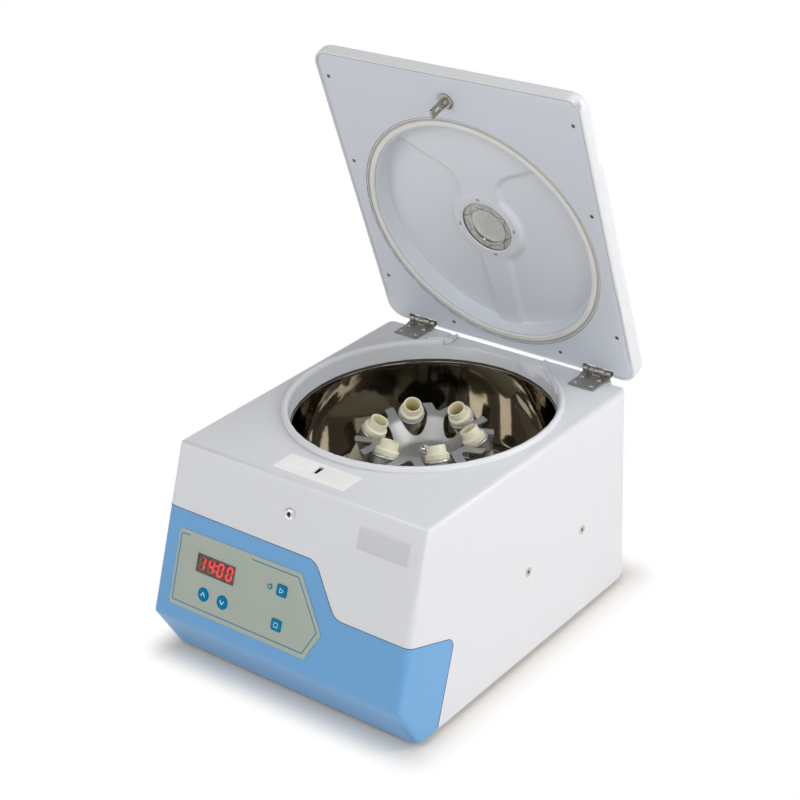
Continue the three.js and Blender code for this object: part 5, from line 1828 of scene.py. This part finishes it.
@dataclass
class Rotor:
    """The dished six-arm disc with its ears, and the domed nut."""

    rim: float = 75.0
    rim_gap: float = 1.6
    slot_half: float = 16.3
    slot_bottom: float = 35.3
    slot_inset: float = 6.0
    bend: float = 1.6
    bend_lift: float = 0.9
    valley: float = 54.0
    valley_half: float = 11.7
    valley_bend: float = 4.0
    sheet: float = 2.5
    plate_top: float = 167.2
    plate_end: float = 31.2
    flange_start: float = 47.9
    flange_top: float = 192.2
    crown_end: float = 90.0
    crown_window: float = 6.0
    bore: float = 4.3
    bore_clear: float = 5.4
    cell: float = 1.9
    row: float = 0.866
    rim_clear: float = 0.9
    ear_root: Pair = (54.0, 73.0)
    ear_corners: Corners = (
        (54.0, PIVOT_HEIGHT, 4), (54.15, 165.0, 4), (66.15, 165.0, 4), (71.0, PIVOT_HEIGHT, 4),
    )
    ear_overlap: float = 0.05
    ear_hole: float = 2.4
    ear_sides: Pair = (16.2, -18.7)
    ear_thickness: float = 2.5
    edge: float = 0.35
    nut_radius: float = 7.5
    nut_turn: float = 12.0
    nut_span: Pair = (0.3, 6.8)
    dome_radius: float = 5.9
    dome_foot: float = 6.2
    dome_rise: float = 6.0

    def plan(self) -> Outline:
        """Outline of the disc seen from above: six times a rim, a slot, a rim and a valley."""
        rim, edge, bend = self.rim, self.slot_half, self.bend
        half = math.degrees(math.asin(edge / rim)) + self.rim_gap
        part = 180.0 / CARRIER_COUNT
        valley_angle = part - math.degrees(math.atan2(self.valley_half, rim))
        bend_x, bend_y = math.sqrt(rim**2 - edge**2) - bend, edge + bend * self.bend_lift
        mouth, bottom = rim - self.slot_inset, self.slot_bottom + edge
        sector = np.concatenate([
            arc(0, 0, rim, -valley_angle, -half, 7),
            arc(bend_x, -bend_y, bend, 30, 90, 4),
            np.linspace((mouth, -edge), (bottom, -edge), 9),
            arc(bottom, 0, edge, -90, -270, 32)[1:-1],
            np.linspace((bottom, edge), (mouth, edge), 9),
            arc(bend_x, bend_y, bend, -90, -30, 4),
            arc(0, 0, rim, half, valley_angle, 7),
        ])
        last = sector[-1:]
        tip = turned(np.array([[self.valley, 0.0]]), part)[0]
        mirrored = turned(last * (1, -1), 2 * part)[0]
        valley = rounded([last[0], (*tip, self.valley_bend), mirrored], 8, closed=False)[1:-1]
        ring = np.concatenate([sector, valley])
        return np.concatenate([turned(ring, carrier_angle(index)) for index in range(CARRIER_COUNT)])

    def crown(self, radius: Array) -> Array:
        """Height of the disc's upper side: a plate, a cone and a flange, with rounded bends.

        The three straight runs are joined by rounding: the mean of the profile over a window of 6 mm.

        Args:
            radius: Distances from the axis.

        Returns:
            The heights.
        """
        runs_r = [0.0, self.plate_end, self.flange_start, self.crown_end]
        runs_z = [self.plate_top, self.plate_top, self.flange_top, self.flange_top]
        return smeared(radius, runs_r, runs_z, self.crown_window / 2, 13)

    def disc(self) -> Shape:
        """The disc: its plan is filled with small triangles, lifted to the crown, and given its thickness."""
        plan, cell, rim = self.plan(), self.cell, self.rim
        x, y = np.meshgrid(np.arange(-rim, rim, cell), np.arange(-rim, rim, cell * self.row))
        x = x + (np.arange(len(x)) % 2)[:, None] * cell / 2
        extra = np.stack([x.ravel(), y.ravel()], axis=1)
        extra = extra[(depth_inside(extra, plan) > self.rim_clear) & (np.hypot(*extra.T) > self.bore_clear)]
        flat, triangles = triangulated(plan, [circle(0, 0, self.bore, 32)], extra)
        upper = self.crown(np.hypot(flat[:, 0], flat[:, 1]))
        top = SPIN.at(flat[:, 0], flat[:, 1], upper)
        low = SPIN.at(flat[:, 0], flat[:, 1], upper - self.sheet)
        count = len(flat)
        faces = triangles.tolist() + (triangles[:, ::-1] + count).tolist()
        sides = np.concatenate([triangles[:, [0, 1]], triangles[:, [1, 2]], triangles[:, [2, 0]]])
        _, first, times = np.unique(np.sort(sides, axis=1), axis=0, return_index=True, return_counts=True)
        rim_sides = sides[first[times == 1]]
        start, end = rim_sides[:, 0], rim_sides[:, 1]
        faces += np.stack([end, start, start + count, end + count], axis=1).tolist()
        return Shape(np.concatenate([top, low]), faces)

    def ears(self) -> list[Shape]:
        """Twelve ears: upright plates below the flange, each with a round pivot hole."""
        made = []
        top = self.flange_top - self.sheet + self.ear_overlap
        inner, outer = self.ear_root
        outline = rounded([(inner, top), *self.ear_corners, (outer, top)], 6)
        hole = circle(PIVOT_RADIUS, PIVOT_HEIGHT, self.ear_hole, 24)
        for index in range(CARRIER_COUNT):
            turn = math.radians(carrier_angle(index))
            right = (math.cos(turn), math.sin(turn), 0.0)
            out = (math.sin(turn), -math.cos(turn), 0.0)
            place = Place(SPIN.origin, right, (0, 0, 1), out)
            for low in self.ear_sides:
                high = low + self.ear_thickness
                made.append(slab(place, outline, low, high, [hole], self.edge, 2, low_edge=True))
        return made

    def make(self) -> None:
        """Builds the disc with its ears, and the nut. The shaft keeps its CAD shape."""
        shape = self.disc().joined(*self.ears())
        node, finish = "rotor_disc", Finish.ALUMINIUM
        disc = build("rotor_disc_skin", shape, "rotor", finish, (node,), 40.0, False)
        bevelled(disc, self.edge, 60)
        weighted(disc)
        self.nut()
        dress("drive_shaft", Finish.STEEL)

    def nut(self) -> None:
        """The hexagonal nut with a washer face and a domed cap, whose section is a quarter ellipse."""
        place = SPIN.moved(z=self.plate_top)
        low, high = self.nut_span
        outline = polygon(0, 0, self.nut_radius, 6, self.nut_turn)
        body = slab(place, outline, low, high, edge=0.5, steps=3, low_edge=True)
        turns = np.linspace(0.1, math.pi / 2, 12)
        radius, foot = self.dome_radius, self.dome_foot
        quarter = np.stack([radius * np.cos(turns), high + self.dome_rise * np.sin(turns)], axis=1)
        dome = revolved(place, np.concatenate([[[0.0, foot], [radius, foot]], quarter]), 48, closed=False)
        build("nut_skin", body.joined(dome), "rotor", Finish.CHROME, ("rotor_nut",))


@dataclass
class Carriers:
    """Six carriers: an aluminium ring on two pins, and the cream shield in it.

    Heights count along the tube from the middle of the pins, and corners are (radius, height, rounding).
    """

    bore: float = 8.4
    body_radius: float = 10.25
    ring_gap: float = 0.3
    ring_low: float = -8.0
    ring_high: float = 7.0
    ring_face: Corners = ((13.9, -8.0, 0.6), (13.9, 3.4, 0.4), (14.75, 4.2, 0.5), (14.75, 7.0, 1.0))
    pin_radius: float = 2.0
    pin_span: Pair = (12.4, 19.6)
    head_at: float = 19.5
    head: ScrewHead = ScrewHead(3.9, 2.0, 0.2, 0.5)
    foot: float = -72.0
    foot_bend: float = 4.0
    neck: Corners = (
        (10.25, 7.3, 0.2), (13.0, 7.3, 0.3), (13.0, 12.9, 0.9), (10.55, 14.4, 0.8), (9.95, 23.0, 0.35),
        (8.4, 23.0, 0.35),
    )
    bore_span: Pair = (22.6, -64.0)
    floor_bend: float = 4.0
    fade: Pair = (22.4, 12.0)
    segments: int = 64

    def make(self) -> None:
        """Builds the six pairs."""
        for number in range(1, CARRIER_COUNT + 1):
            place, body = carrier_place(number - 1), f"carrier_{number}"
            ring, shield = self.ring(place), self.shield(place)
            build(f"ring_skin_{number}", ring, body, Finish.COLLAR, (f"tube_ring_{number}",))
            node = f"tube_shield_{number}"
            build(f"shield_skin_{number}", shield, body, Finish.TUBE, (node,), 50.0)
            self.pin_heads(place, body, number)

    def across(self, place: Place, way: int) -> Place:
        """The frame of one pin, whose out direction runs along the pin away from the tube."""
        return Place(place.origin, place.right, place.out, tuple(way * np.array(place.up)))

    def ring(self, place: Place) -> Shape:
        """The ring: a collar with a rolled lip, and two pins square to the tube.

        Args:
            place: The carrier's frame.

        Returns:
            Its shape.
        """
        inner = self.body_radius + self.ring_gap
        corners = [(inner, self.ring_low), *self.ring_face, (inner, self.ring_high, 0.5)]
        collar = revolved(place, rounded(corners, 4), 64)
        outline = circle(0, 0, self.pin_radius, 24)
        return collar.joined(*[slab(self.across(place, way), outline, *self.pin_span) for way in (1, -1)])

    def pin_heads(self, place: Place, body: str, number: int) -> None:
        """A steel head with a cross recess at the outer end of each pin.

        Args:
            place: The carrier's frame.
            body: The carrier's body.
            number: The carrier's number.
        """
        for side, way in (("a", 1), ("b", -1)):
            head = self.head.shape(self.across(place, way).moved(z=self.head_at))
            build(f"pin_head_{number}_{side}", head, body, Finish.NICKEL)

    def shield(self, place: Place) -> Shape:
        """The shield: a long cup with a wide shoulder and a narrow thin-walled neck.

        The value "inside", painted shade, is 1 down the bore and fades to 0 at the mouth.

        Args:
            place: The carrier's frame.

        Returns:
            One closed shape.
        """
        foot, bend = self.foot, self.floor_bend
        corners = [(0.0, foot), (self.body_radius, foot, self.foot_bend), *self.neck]
        outer = rounded(corners, 5, closed=False)[:-1]
        high, low = self.bore_span
        bore = np.linspace((self.bore, high), (self.bore, low), 16)
        floor = arc(self.bore - bend, low, bend, 0, -90, 5)[1:]
        profile = np.concatenate([outer, bore, floor, [[0.0, low - bend]]])
        shape = revolved(place, profile, self.segments, closed=False)
        depth = np.concatenate([np.zeros(len(outer)), ease(*self.fade, bore[:, 1]), np.ones(len(floor) + 1)])
        shape.values = {"inside": np.repeat(depth, self.segments)}
        return shape


# Lid


@dataclass
class Lid:
    """The lid's shell, its inner face, the dished liner with the seal and window, the strike and screws.

    Heights count from the lid's inner face toward the viewer, and depths away from it. Faces are corners
    (radius, height, rounding), and the corners of spoke and fan are (x, y, rounding).
    """

    seam_half: float = 164.05
    seam_low: float = 32.0
    seam_high: float = 363.6
    seam_bend: float = 13.8
    seam_width: float = 0.75
    floor: float = 18.6
    rise: float = 5.0
    lift: float = 2.0
    hub: float = 44.0
    wall_radii: tuple[float, ...] = (0.0, 133.2, 134.4, 136.8, 160.0)
    wall_depths: tuple[float, ...] = (18.6, 18.6, 17.8, 2.3, 2.3)
    wall_window: float = 0.8
    spoke: Corners = ((-15.0, -150.0), (15.0, -150.0), (20.0, 0.0), (-20.0, 0.0))
    fan: Corners = (
        (-25.5, 0), (25.5, 0), (25.5, 65.5, 25), (118.0, 110.0), (118.0, 150.0), (-118.0, 150.0),
        (-118.0, 110.0), (-25.5, 65.5, 25),
    )
    blend: float = 5.0
    relief_fade: float = 2.7
    liner_sheet: float = 1.3
    liner_columns: int = 320
    liner_rows: tuple[tuple[float, float, int], ...] = (
        (32.2, 60, 24), (61, 116, 40), (118, 132, 10), (132.4, 138.4, 31), (145.0, 152.0, 2),
    )
    seal_face: Corners = (
        (139.0, -2.0), (139.0, 0.3, 1.2), (144.8, 0.3, 1.2), (145.1, -0.9, 0.3), (147.1, -0.9, 0.3),
        (147.4, -0.2, 0.3), (148.8, -0.2, 0.5), (148.8, -2.0),
    )
    groove: Box = (144.6, 145.1, 147.9, 147.2)
    shadow_radius: float = 149.15
    window_gap: float = 0.9
    lens_body: Corners = ((0.0, -21.9), (22.4, -21.9), (22.4, -19.9), (22.0, -19.9))
    lens_radius: float = 22.0
    lens_edge: float = 21.8
    lens_sag: float = 0.9
    ring_bore: float = 31.2
    ring_radius: float = 41.0
    mark_radius: float = 36.4
    mark_half: Pair = (1.4, 2.5)
    mark_turn: float = 5.0
    flute_span: Pair = (22.0, 31.6)
    flute_foot: float = -19.8
    flute_depth: float = 1.3
    petals: int = 8
    petal_turn: float = 0.3
    petal_start: float = 0.16
    petal_bow: float = 0.7
    strike_at: float = 333.9
    strike_washer: Corners = ((2.6, 0.3), (9.3, 0.3, 0.3), (9.3, 2.0, 0.5), (7.4, 2.5, 0.5), (2.6, 2.5))
    stud_radius: float = 4.2
    stud_span: Pair = (2.2, 6.4)
    strike_half: Pair = (5.0, 1.5)
    strike_span: Pair = (2.4, 26.0)
    strike_hole: Box = (-2.5, 2.5, 12.0, 20.0)
    stem_radius: float = 2.5
    stem_low: float = -5.3
    nut_radius: float = 5.0
    nut_high: float = -2.3
    screw_lift: float = 0.02
    screw: ScrewHead = ScrewHead(2.3, 0.75, 0.26, 0.9)
    screw_spots: Corners = (
        (154, 62), (-154, 62), (154, 224.5), (-154, 224.5), (154, 335), (-154, 335),
        (72.6, 15.8), (-72.6, 15.8),
    )

    def make(self) -> None:
        """Builds every piece of the lid."""
        smoothed("lid_shell", "lid_shell_skin", Finish.CASE)
        smoothed("lid_panel", "lid_panel_skin", Finish.LID_FACE)
        build("liner_skin", self.liner(), "lid", Finish.LINER, ("lid_liner",), 50.0)
        self.seal()
        self.window()
        self.strike()
        self.screws()
        half, low, high, bend = self.seam_half, self.seam_low, self.seam_high, self.seam_bend
        outline = rounded([(-half, low), (-half, high, bend), (half, high, bend), (half, low)], 8, False)
        seam = ribbon(LID, outline, self.seam_width, -0.4, 0.02)
        build("lid_seam", seam, "lid", Finish.LID_SEAM)

    def wall(self, radius: Array) -> Array:
        """Depth of the plain dish: flange, steep wall and floor, rounded over a short window."""
        return smeared(radius, self.wall_radii, self.wall_depths, self.wall_window / 2, 5)

    def relief(self, points: Array) -> Array:
        """Distance inside the raised part of the liner.

        It joins a hub, a spoke toward the hinge, and a fan toward the free edge.

        Args:
            points: Points of the dish's plan, of shape (n, 2).

        Returns:
            The distances, positive inside.
        """
        hub = self.hub - np.hypot(points[:, 0], points[:, 1])
        spoke = depth_inside(points, np.array(self.spoke))
        fan = depth_inside(points, rounded(self.fan, 8))
        return blended_max(blended_max(hub, spoke, self.blend), fan, self.blend)

    def liner(self) -> Shape:
        """The liner as a polar grid: its depth is the plain dish's, lifted where the relief is."""
        columns = self.liner_columns
        radius = np.concatenate([np.linspace(*run) for run in self.liner_rows])
        angles = TURN * np.arange(columns) / columns
        x = (radius[:, None] * np.cos(angles)).ravel()
        y = (radius[:, None] * np.sin(angles)).ravel()
        depth = self.wall(np.hypot(x, y))
        inside = self.relief(np.stack([x, y], axis=1))
        face = self.floor - self.rise
        depth = depth - np.maximum(depth - face, 0) * ease(-self.relief_fade, self.relief_fade, inside)
        front = DISH.at(x, y, -depth)
        back = DISH.at(x, y, -depth - self.liner_sheet)
        rows = len(radius)
        faces = grid_faces(rows, columns, False, True)
        count = len(front)
        shape = faces.tolist() + (faces[:, ::-1] + count).tolist()
        index = np.arange(columns)
        following = np.roll(index, -1)
        shape += np.stack([following, index, index + count, following + count], axis=1).tolist()
        last = index + (rows - 1) * columns
        after = following + (rows - 1) * columns
        shape += np.stack([last, after, after + count, last + count], axis=1).tolist()
        return Shape(np.concatenate([front, back]), shape)

    def seal(self) -> None:
        """The lid's seal: a broad soft bead inside and a low lip outside, with a groove between that gets
        painted shade, and a painted shadow ring along its outer edge.
        """
        profile, segments = rounded(self.seal_face, 5), 192
        shape = revolved(DISH, profile, segments)
        # painted shade in the groove, through the value "inside"
        start, full, end, fading = self.groove
        groove = ease(start, full, profile[:, 0]) * ease(end, fading, profile[:, 0])
        shape.values = {"inside": np.repeat(groove, segments)}
        build("lid_seal", shape, "lid", Finish.SEAL, ("lid_gasket",))
        # painted shadow: a dark ring along the seal's outer edge
        shadow = ribbon(DISH, circle(0, 0, self.shadow_radius, segments), 0.5, -0.35, 0.02, closed=True)
        build("lid_seal_shadow", shadow, "lid", Finish.SHADOW_GREY)

    def window(self) -> None:
        """The clear window with its fluted ring, and the ring that holds it with four small marks.

        The lens bulges by sag (1 - (r / R)^2).
        """
        face = -(self.floor - self.rise) - self.window_gap
        radius = np.linspace(self.lens_edge, 0.0, 10)
        bulge = np.stack([radius, face + self.lens_sag * (1 - (radius / self.lens_radius) ** 2)], axis=1)
        lens = revolved(DISH, np.concatenate([self.lens_body, bulge]), 128, closed=False)
        build("window_lens", lens, "lid", Finish.CLEAR, ("view_window",), 45.0)
        self.flutes(face)
        low, high = reach("window_bezel", DISH)
        base, top = low[2] + self.lift, high[2] + self.lift
        bore, outer = self.ring_bore, self.ring_radius
        face = [(outer, top, 0.5), (bore + 1.2, top, 0.4), (bore, top - 0.6, 0.3)]
        ring = revolved(DISH, rounded([(bore, base), (outer, base), *face], 4), 128)
        build("window_ring", ring, "lid", Finish.BEZEL, ("window_bezel",))
        for number in range(1, 5):
            turn = math.radians(self.mark_turn + 90.0 * (number - 1))
            spot = DISH.moved(self.mark_radius * math.cos(turn), self.mark_radius * math.sin(turn), top)
            wide, high_half = self.mark_half if number % 2 else self.mark_half[::-1]
            mark = slab(spot, box_outline(-wide, wide, -high_half, high_half, 0.3, 3), -0.03, 0.03)
            build(f"ring_mark_{number}", mark, "lid", Finish.LID_SEAM)

    def flutes(self, face: float) -> None:
        """The window's fluted rim: a ring of scallops, with painted shade along their edges and by the lens.

        In each of the eight parts of the turn, a hollow begins where the share of the rim's width is
        over 0.16 + 0.7 u^2, with u from -1 to 1 across the part, and ends at the outer edge.

        Args:
            face: Height of the window's face along out.
        """
        segments = 384
        inner, outer = self.flute_span
        radius = np.concatenate([[inner], np.linspace(inner, outer - 0.2, 44), [outer]])[:, None]
        angles = TURN * np.arange(segments)[None] / segments
        across = 2 * ((angles * self.petals / TURN + self.petal_turn) % 1.0) - 1
        share = (radius - inner) / (outer - inner)
        bound = share - (self.petal_start + self.petal_bow * across**2)
        height = face - self.flute_depth * ease(0.0, 0.14, bound) + 0.4 * bell(radius - inner - 0.9, 0.5)
        height[0] = height[-1] = self.flute_foot
        # painted shade: dark lines along the scallops' edges and a dark ring by the lens edge, through the
        # value "inside"
        lines = bell(bound, 0.05) + 0.7 * bell(bound - 0.2, 0.03)
        lines = np.clip(lines + bell(radius - inner - 1.5, 0.3), 0, 1)
        points = DISH.at(radius * np.cos(angles), radius * np.sin(angles), height)
        faces = grid_faces(len(radius), segments, True, True).tolist()
        shape = Shape(points, faces, {"inside": lines.ravel()})
        build("window_flutes", shape, "lid", Finish.FLUTES)

    def strike(self) -> None:
        """The strike: washer, hexagonal stud, plate with a window, stem and nut, as one piece."""
        place = LID.moved(y=self.strike_at)
        washer = revolved(place, rounded(self.strike_washer, 3), 64)
        stud = slab(place, polygon(0, 0, self.stud_radius, 6, 0.0), *self.stud_span, edge=0.4, steps=3)
        side = Place(place.origin, place.up, place.out, (1.0, 0.0, 0.0))
        half, thick = self.strike_half
        low, high = self.strike_span
        outline = rounded([(-half, low), (half, low), (half, high, 1.4), (-half, high, 1.4)], 5)
        hole = box_outline(*self.strike_hole, 0.8, 4)
        plate = slab(side, outline, -thick, thick, [hole], 0.35, 3, low_edge=True)
        stem = slab(place, circle(0, 0, self.stem_radius, 24), self.stem_low, low)
        nut = slab(place, polygon(0, 0, self.nut_radius, 6), self.stem_low, self.nut_high, edge=0.3)
        shape = washer.joined(stud, plate, stem, nut)
        build("strike_skin", shape, "lid", Finish.STRIKE, ("latch_strike",), 30.0)

    def screws(self) -> None:
        """Eight small screws that hold the inner face."""
        for number, (x, s) in enumerate(self.screw_spots, 1):
            head = self.screw.shape(LID.moved(x, s, self.screw_lift))
            build(f"lid_screw_{number}", head, "lid", Finish.BRASS)


# Hinges


@dataclass
class Hinges:
    """Two hinges: leaves, pins, double torsion springs and the screws in the deck leaves."""

    half_span: float = 119.5
    wire: float = 0.5
    coil: float = 3.0
    pitch: float = 1.4
    turns: float = 3.75
    turn_steps: int = 24
    inner_end: float = 4.95
    leg_reach: Pair = (-12.0, -1.2)
    leg_drop: Pair = (1.0, 0.1)
    bow: Corners = ((0.0, -1.4), (0.0, -2.8), (-0.25, -4.1), (-1.0, -4.6), (-4.15, -4.6))
    tongue: Box = (-11.6, 11.6, 417.2, 427.0)
    tongue_span: Pair = (0.3, 1.75)
    leaf_thickness: float = 1.5
    screw: ScrewHead = ScrewHead(2.9, 1.1, 0.22, 0.75)
    screw_spots: Corners = (
        (-10.6, 396.0), (10.2, 396.2), (10.0, 412.4), (-10.8, 411.6),
    )

    def make(self) -> None:
        """Builds both hinges."""
        for side, x in (("left", -self.half_span), ("right", self.half_span)):
            smoothed(f"deck_leaf_{side}", f"deck_leaf_skin_{side}", Finish.LEAF)
            smoothed(f"lid_leaf_{side}", f"lid_leaf_skin_{side}", Finish.SLEEVE)
            smoothed(f"hinge_pin_{side}", f"hinge_pin_skin_{side}", Finish.BARREL)
            self.spring(side, x)
            tongue = slab(DECK.moved(x), box_outline(*self.tongue), *self.tongue_span, edge=0.2)
            build(f"leaf_tongue_{side}", tongue, "housing", Finish.LEAF)
            self.leaf_screws(side, x)

    def spring(self, side: str, x: float) -> None:
        """The spring wire: a straight leg, a coil, the bow between the coils, and the same mirrored.

        Along the coil, x falls by the pitch each turn while the wire runs round a circle.

        Args:
            side: Which hinge.
            x: Middle of the hinge.
        """
        steps = np.arange(int(self.turns * self.turn_steps) + 1) / self.turn_steps
        turned_by = TURN * steps - math.pi / 2
        outer = self.inner_end + self.pitch * self.turns
        coil = np.stack([
            outer - self.pitch * steps, self.coil * np.cos(turned_by), self.coil * np.sin(turned_by),
        ], axis=1)
        (start, end), (far, near) = self.leg_reach, self.leg_drop
        leg = np.linspace((outer, start, -self.coil - far), (outer, end, -self.coil - near), 6)
        bow = np.array([(self.inner_end + along, -self.coil, down) for along, down in self.bow])
        half = np.concatenate([leg, coil, bow])
        whole = np.concatenate([half, half[::-1] * (-1, 1, 1)])
        path = HINGE.moved(x).at(whole[:, 0], whole[:, 1], whole[:, 2])
        node, wire = f"hinge_spring_{side}", tube(path, self.wire, 12)
        build(f"spring_skin_{side}", wire, "housing", Finish.NICKEL, (node,))

    def leaf_screws(self, side: str, x: float) -> None:
        """Four pan-head screws in the deck leaf.

        Args:
            side: Which hinge.
            x: Middle of the hinge.
        """
        low, _ = reach(f"deck_leaf_{side}", DECK)
        for number, (dx, y) in enumerate(self.screw_spots, 1):
            head = self.screw.shape(DECK.moved(x + dx, y, low[2] + self.leaf_thickness))
            build(f"leaf_screw_{side}_{number}", head, "housing", Finish.NICKEL)


# Rear and inside


@dataclass
class RearAndInside:
    """The inlet and rocker at the rear, and the parts under the cover."""

    mounts: int = 3
    mark_rise: float = 5.0
    mark_sink: float = 0.72
    mark_span: Pair = (-0.6, 0.1)
    bar_half: Pair = (0.35, 1.9)
    ring_radius: float = 1.7

    def make(self) -> None:
        """Dresses the rear fittings and the hidden parts."""
        smoothed("power_inlet", "inlet_skin", Finish.BLACK, 0.3)
        smoothed("power_switch", "rocker_skin", Finish.BLACK, 0.25)
        self.rocker_marks()
        dress("display_module", Finish.BLACK)
        dress("control_board", Finish.BOARD)
        dress("power_board", Finish.BOARD)
        dress("chassis_plate", Finish.ZINC)
        dress("lock_solenoid", Finish.STEEL)
        dress("lock_bolt", Finish.STEEL)
        smoothed("motor", "motor_skin", Finish.STEEL)
        smoothed("motor_boot", "boot_skin", Finish.RUBBER)
        for number in range(1, self.mounts + 1):
            smoothed(f"motor_mount_{number}", f"mount_skin_{number}", Finish.RUBBER)

    def rocker_marks(self) -> None:
        """A bar and a ring for on and off, on the two faces of the rocker."""
        low, high = reach("power_switch", REAR)
        middle, face = (low + high) / 2, high[2] - self.mark_sink
        on, off = (REAR.moved(middle[0], middle[1] + way * self.mark_rise, face) for way in (1, -1))
        wide, tall = self.bar_half
        bar = slab(on, box_outline(-wide, wide, -tall, tall, 0.1, 2), *self.mark_span)
        build("rocker_mark_on", bar, "rocker", Finish.WHITE_INK)
        ring = ribbon(off, circle(0, 0, self.ring_radius, 24), 0.6, *self.mark_span, closed=True)
        build("rocker_mark_off", ring, "rocker", Finish.WHITE_INK)


# Studio


@dataclass(frozen=True)
class Lamp:
    """A rectangular soft lamp: where it stands, its two sides in metres, its watts and its colour."""

    name: str
    place: Vector
    size: Pair
    power: float
    colour: Colour = (1.0, 1.0, 1.0)

    def make(self, aim: Vector) -> None:
        """Builds the lamp. The camera doesn't see it.

        Args:
            aim: The spot that it points at.
        """
        data = bpy.data.lights.new(self.name, "AREA")
        data.shape = "RECTANGLE"
        data.size, data.size_y = self.size
        data.energy = self.power
        data.color = self.colour
        made = shown(self.name, data)
        made.matrix_world = facing(self.place, aim)
        made.visible_camera = False


PALE_BLUE = (0.97, 0.985, 1.0)


@dataclass
class Studio:
    """Camera at the photograph's angle, a white floor that keeps the shadow, and soft lamps."""

    eye: Vector = (1.12697, -1.37224, 1.17620)
    target: Vector = (0.01637, -0.014231, 0.27236)
    roll: float = -2.73
    lens: float = 85.986
    sensor: float = 36.0
    clip: Pair = (0.05, 60.0)
    floor_half: float = 14.0
    floor_colour: Colour = (0.90, 0.865, 0.82)
    footprint: Vector = (0.160, 0.195, 0.0)
    shadow_reach: float = 0.043
    middle: Vector = (0.0, 0.0, 0.25)
    lights: tuple[Lamp, ...] = (
        Lamp("key", (1.5, 0.75, 1.15), (1.0, 1.0), 15.0),
        Lamp("side", (1.8, -0.9, 1.0), (0.8, 0.8), 8.5),
        Lamp("front", (0.3, -1.6, 2.0), (1.2, 0.9), 10.0, PALE_BLUE),
        Lamp("left", (-0.9, -1.5, 0.9), (1.2, 1.0), 6.0, PALE_BLUE),
        Lamp("top", (0.3, 0.6, 2.4), (1.2, 1.2), 10.5),
    )
    sky: tuple[tuple[float, Colour], ...] = ((0.0, (0.92, 0.94, 1.0)), (0.75, (0.25, 0.215, 0.18)))
    sky_strength: float = 0.68

    def make(self) -> None:
        """Builds the studio."""
        self.camera()
        self.floor()
        for light in self.lights:
            light.make(self.middle)
        self.world()
        bpy.context.scene.view_settings.view_transform = "Standard"

    def camera(self) -> None:
        """Places the camera: its back axis points from target to eye, then it rolls about that axis."""
        data = bpy.data.cameras.new("camera")
        data.lens = self.lens
        data.sensor_width = self.sensor
        data.clip_start, data.clip_end = self.clip
        made = shown("camera", data)
        made.matrix_world = facing(self.eye, self.target, self.roll)
        bpy.context.scene.camera = made

    def floor(self) -> None:
        """A wide floor. Near the object it takes the shadow, and further out it turns to plain white."""
        mesh = bpy.data.meshes.new("floor")
        half = self.floor_half
        corners = [(-half, -half, 0), (half, -half, 0), (half, half, 0), (-half, half, 0)]
        mesh.from_pydata(corners, [], [(0, 1, 2, 3)])
        made = shown("floor", mesh)
        shader = Shader("floor_white")
        shader.set(Base_Color=self.floor_colour, Roughness=0.9, Specular_IOR_Level=0.1)
        spread = shader.vector("ABSOLUTE", shader.stretched((1.0, 1.0, 0.0)))
        beyond = shader.vector("MAXIMUM", shader.vector("SUBTRACT", spread, self.footprint))
        paths = shader.node("ShaderNodeLightPath")
        camera, glossy, through = (
            Value(shader, paths.outputs[f"Is {kind} Ray"]) for kind in ("Camera", "Glossy", "Transmission")
        )
        share = shader.length(beyond).over(0.0, self.shadow_reach) * (camera + glossy + through).capped()
        white = shader.node("ShaderNodeEmission", None, {"Color": (1.0, 1.0, 1.0), "Strength": 1.0})
        sockets = {0: share, 1: shader.surface.outputs[0], 2: white.outputs[0]}
        mix = shader.node("ShaderNodeMixShader", None, sockets)
        shader.feed(shader.output.inputs["Surface"], mix.outputs[0])
        mesh.materials.append(shader.material)

    def world(self) -> None:
        """Soft surroundings: pale near the horizon, a dim warm ceiling above."""
        world = bpy.data.worlds.new("world")
        world.use_nodes = True
        tree = Tree(world.node_tree)
        coordinates = tree.node("ShaderNodeTexCoord")
        split = tree.node("ShaderNodeSeparateXYZ", None, {0: coordinates.outputs["Generated"]})
        ramp = tree.node("ShaderNodeValToRGB", {"stops": self.sky}, {0: split.outputs["Z"]})
        back = tree.node("ShaderNodeBackground", None, {0: ramp.outputs[0], 1: self.sky_strength})
        tree.node("ShaderNodeOutputWorld", None, {0: back.outputs[0]})
        bpy.context.scene.world = world


def facing(place: Vector, aim: Vector, roll: float = 0.0) -> Matrix:
    """The matrix of a camera or lamp that stands at a place and looks at a spot.

    Args:
        place: Where it stands.
        aim: What it looks at.
        roll: Degrees that it is turned about its own axis.

    Returns:
        The matrix, whose columns are right, up, back and the place.
    """
    back = np.array(place) - np.array(aim)
    back /= np.linalg.norm(back)
    right = np.cross((0, 0, 1), back)
    right /= np.linalg.norm(right)
    up = np.cross(back, right)
    cos, sin = math.cos(math.radians(roll)), math.sin(math.radians(roll))
    matrix = np.eye(4)
    matrix[:3] = np.stack([cos * right + sin * up, cos * up - sin * right, back, place], axis=1)
    return Matrix(matrix.tolist())


def main() -> None:
    """Builds the whole scene."""
    for group in (Studio, Case, ControlPanel, Bowl, Rotor, Carriers, Lid, Hinges, RearAndInside):
        log.info("group %s", group.__name__)
        group().make()


if __name__ == "__main__":
    main()
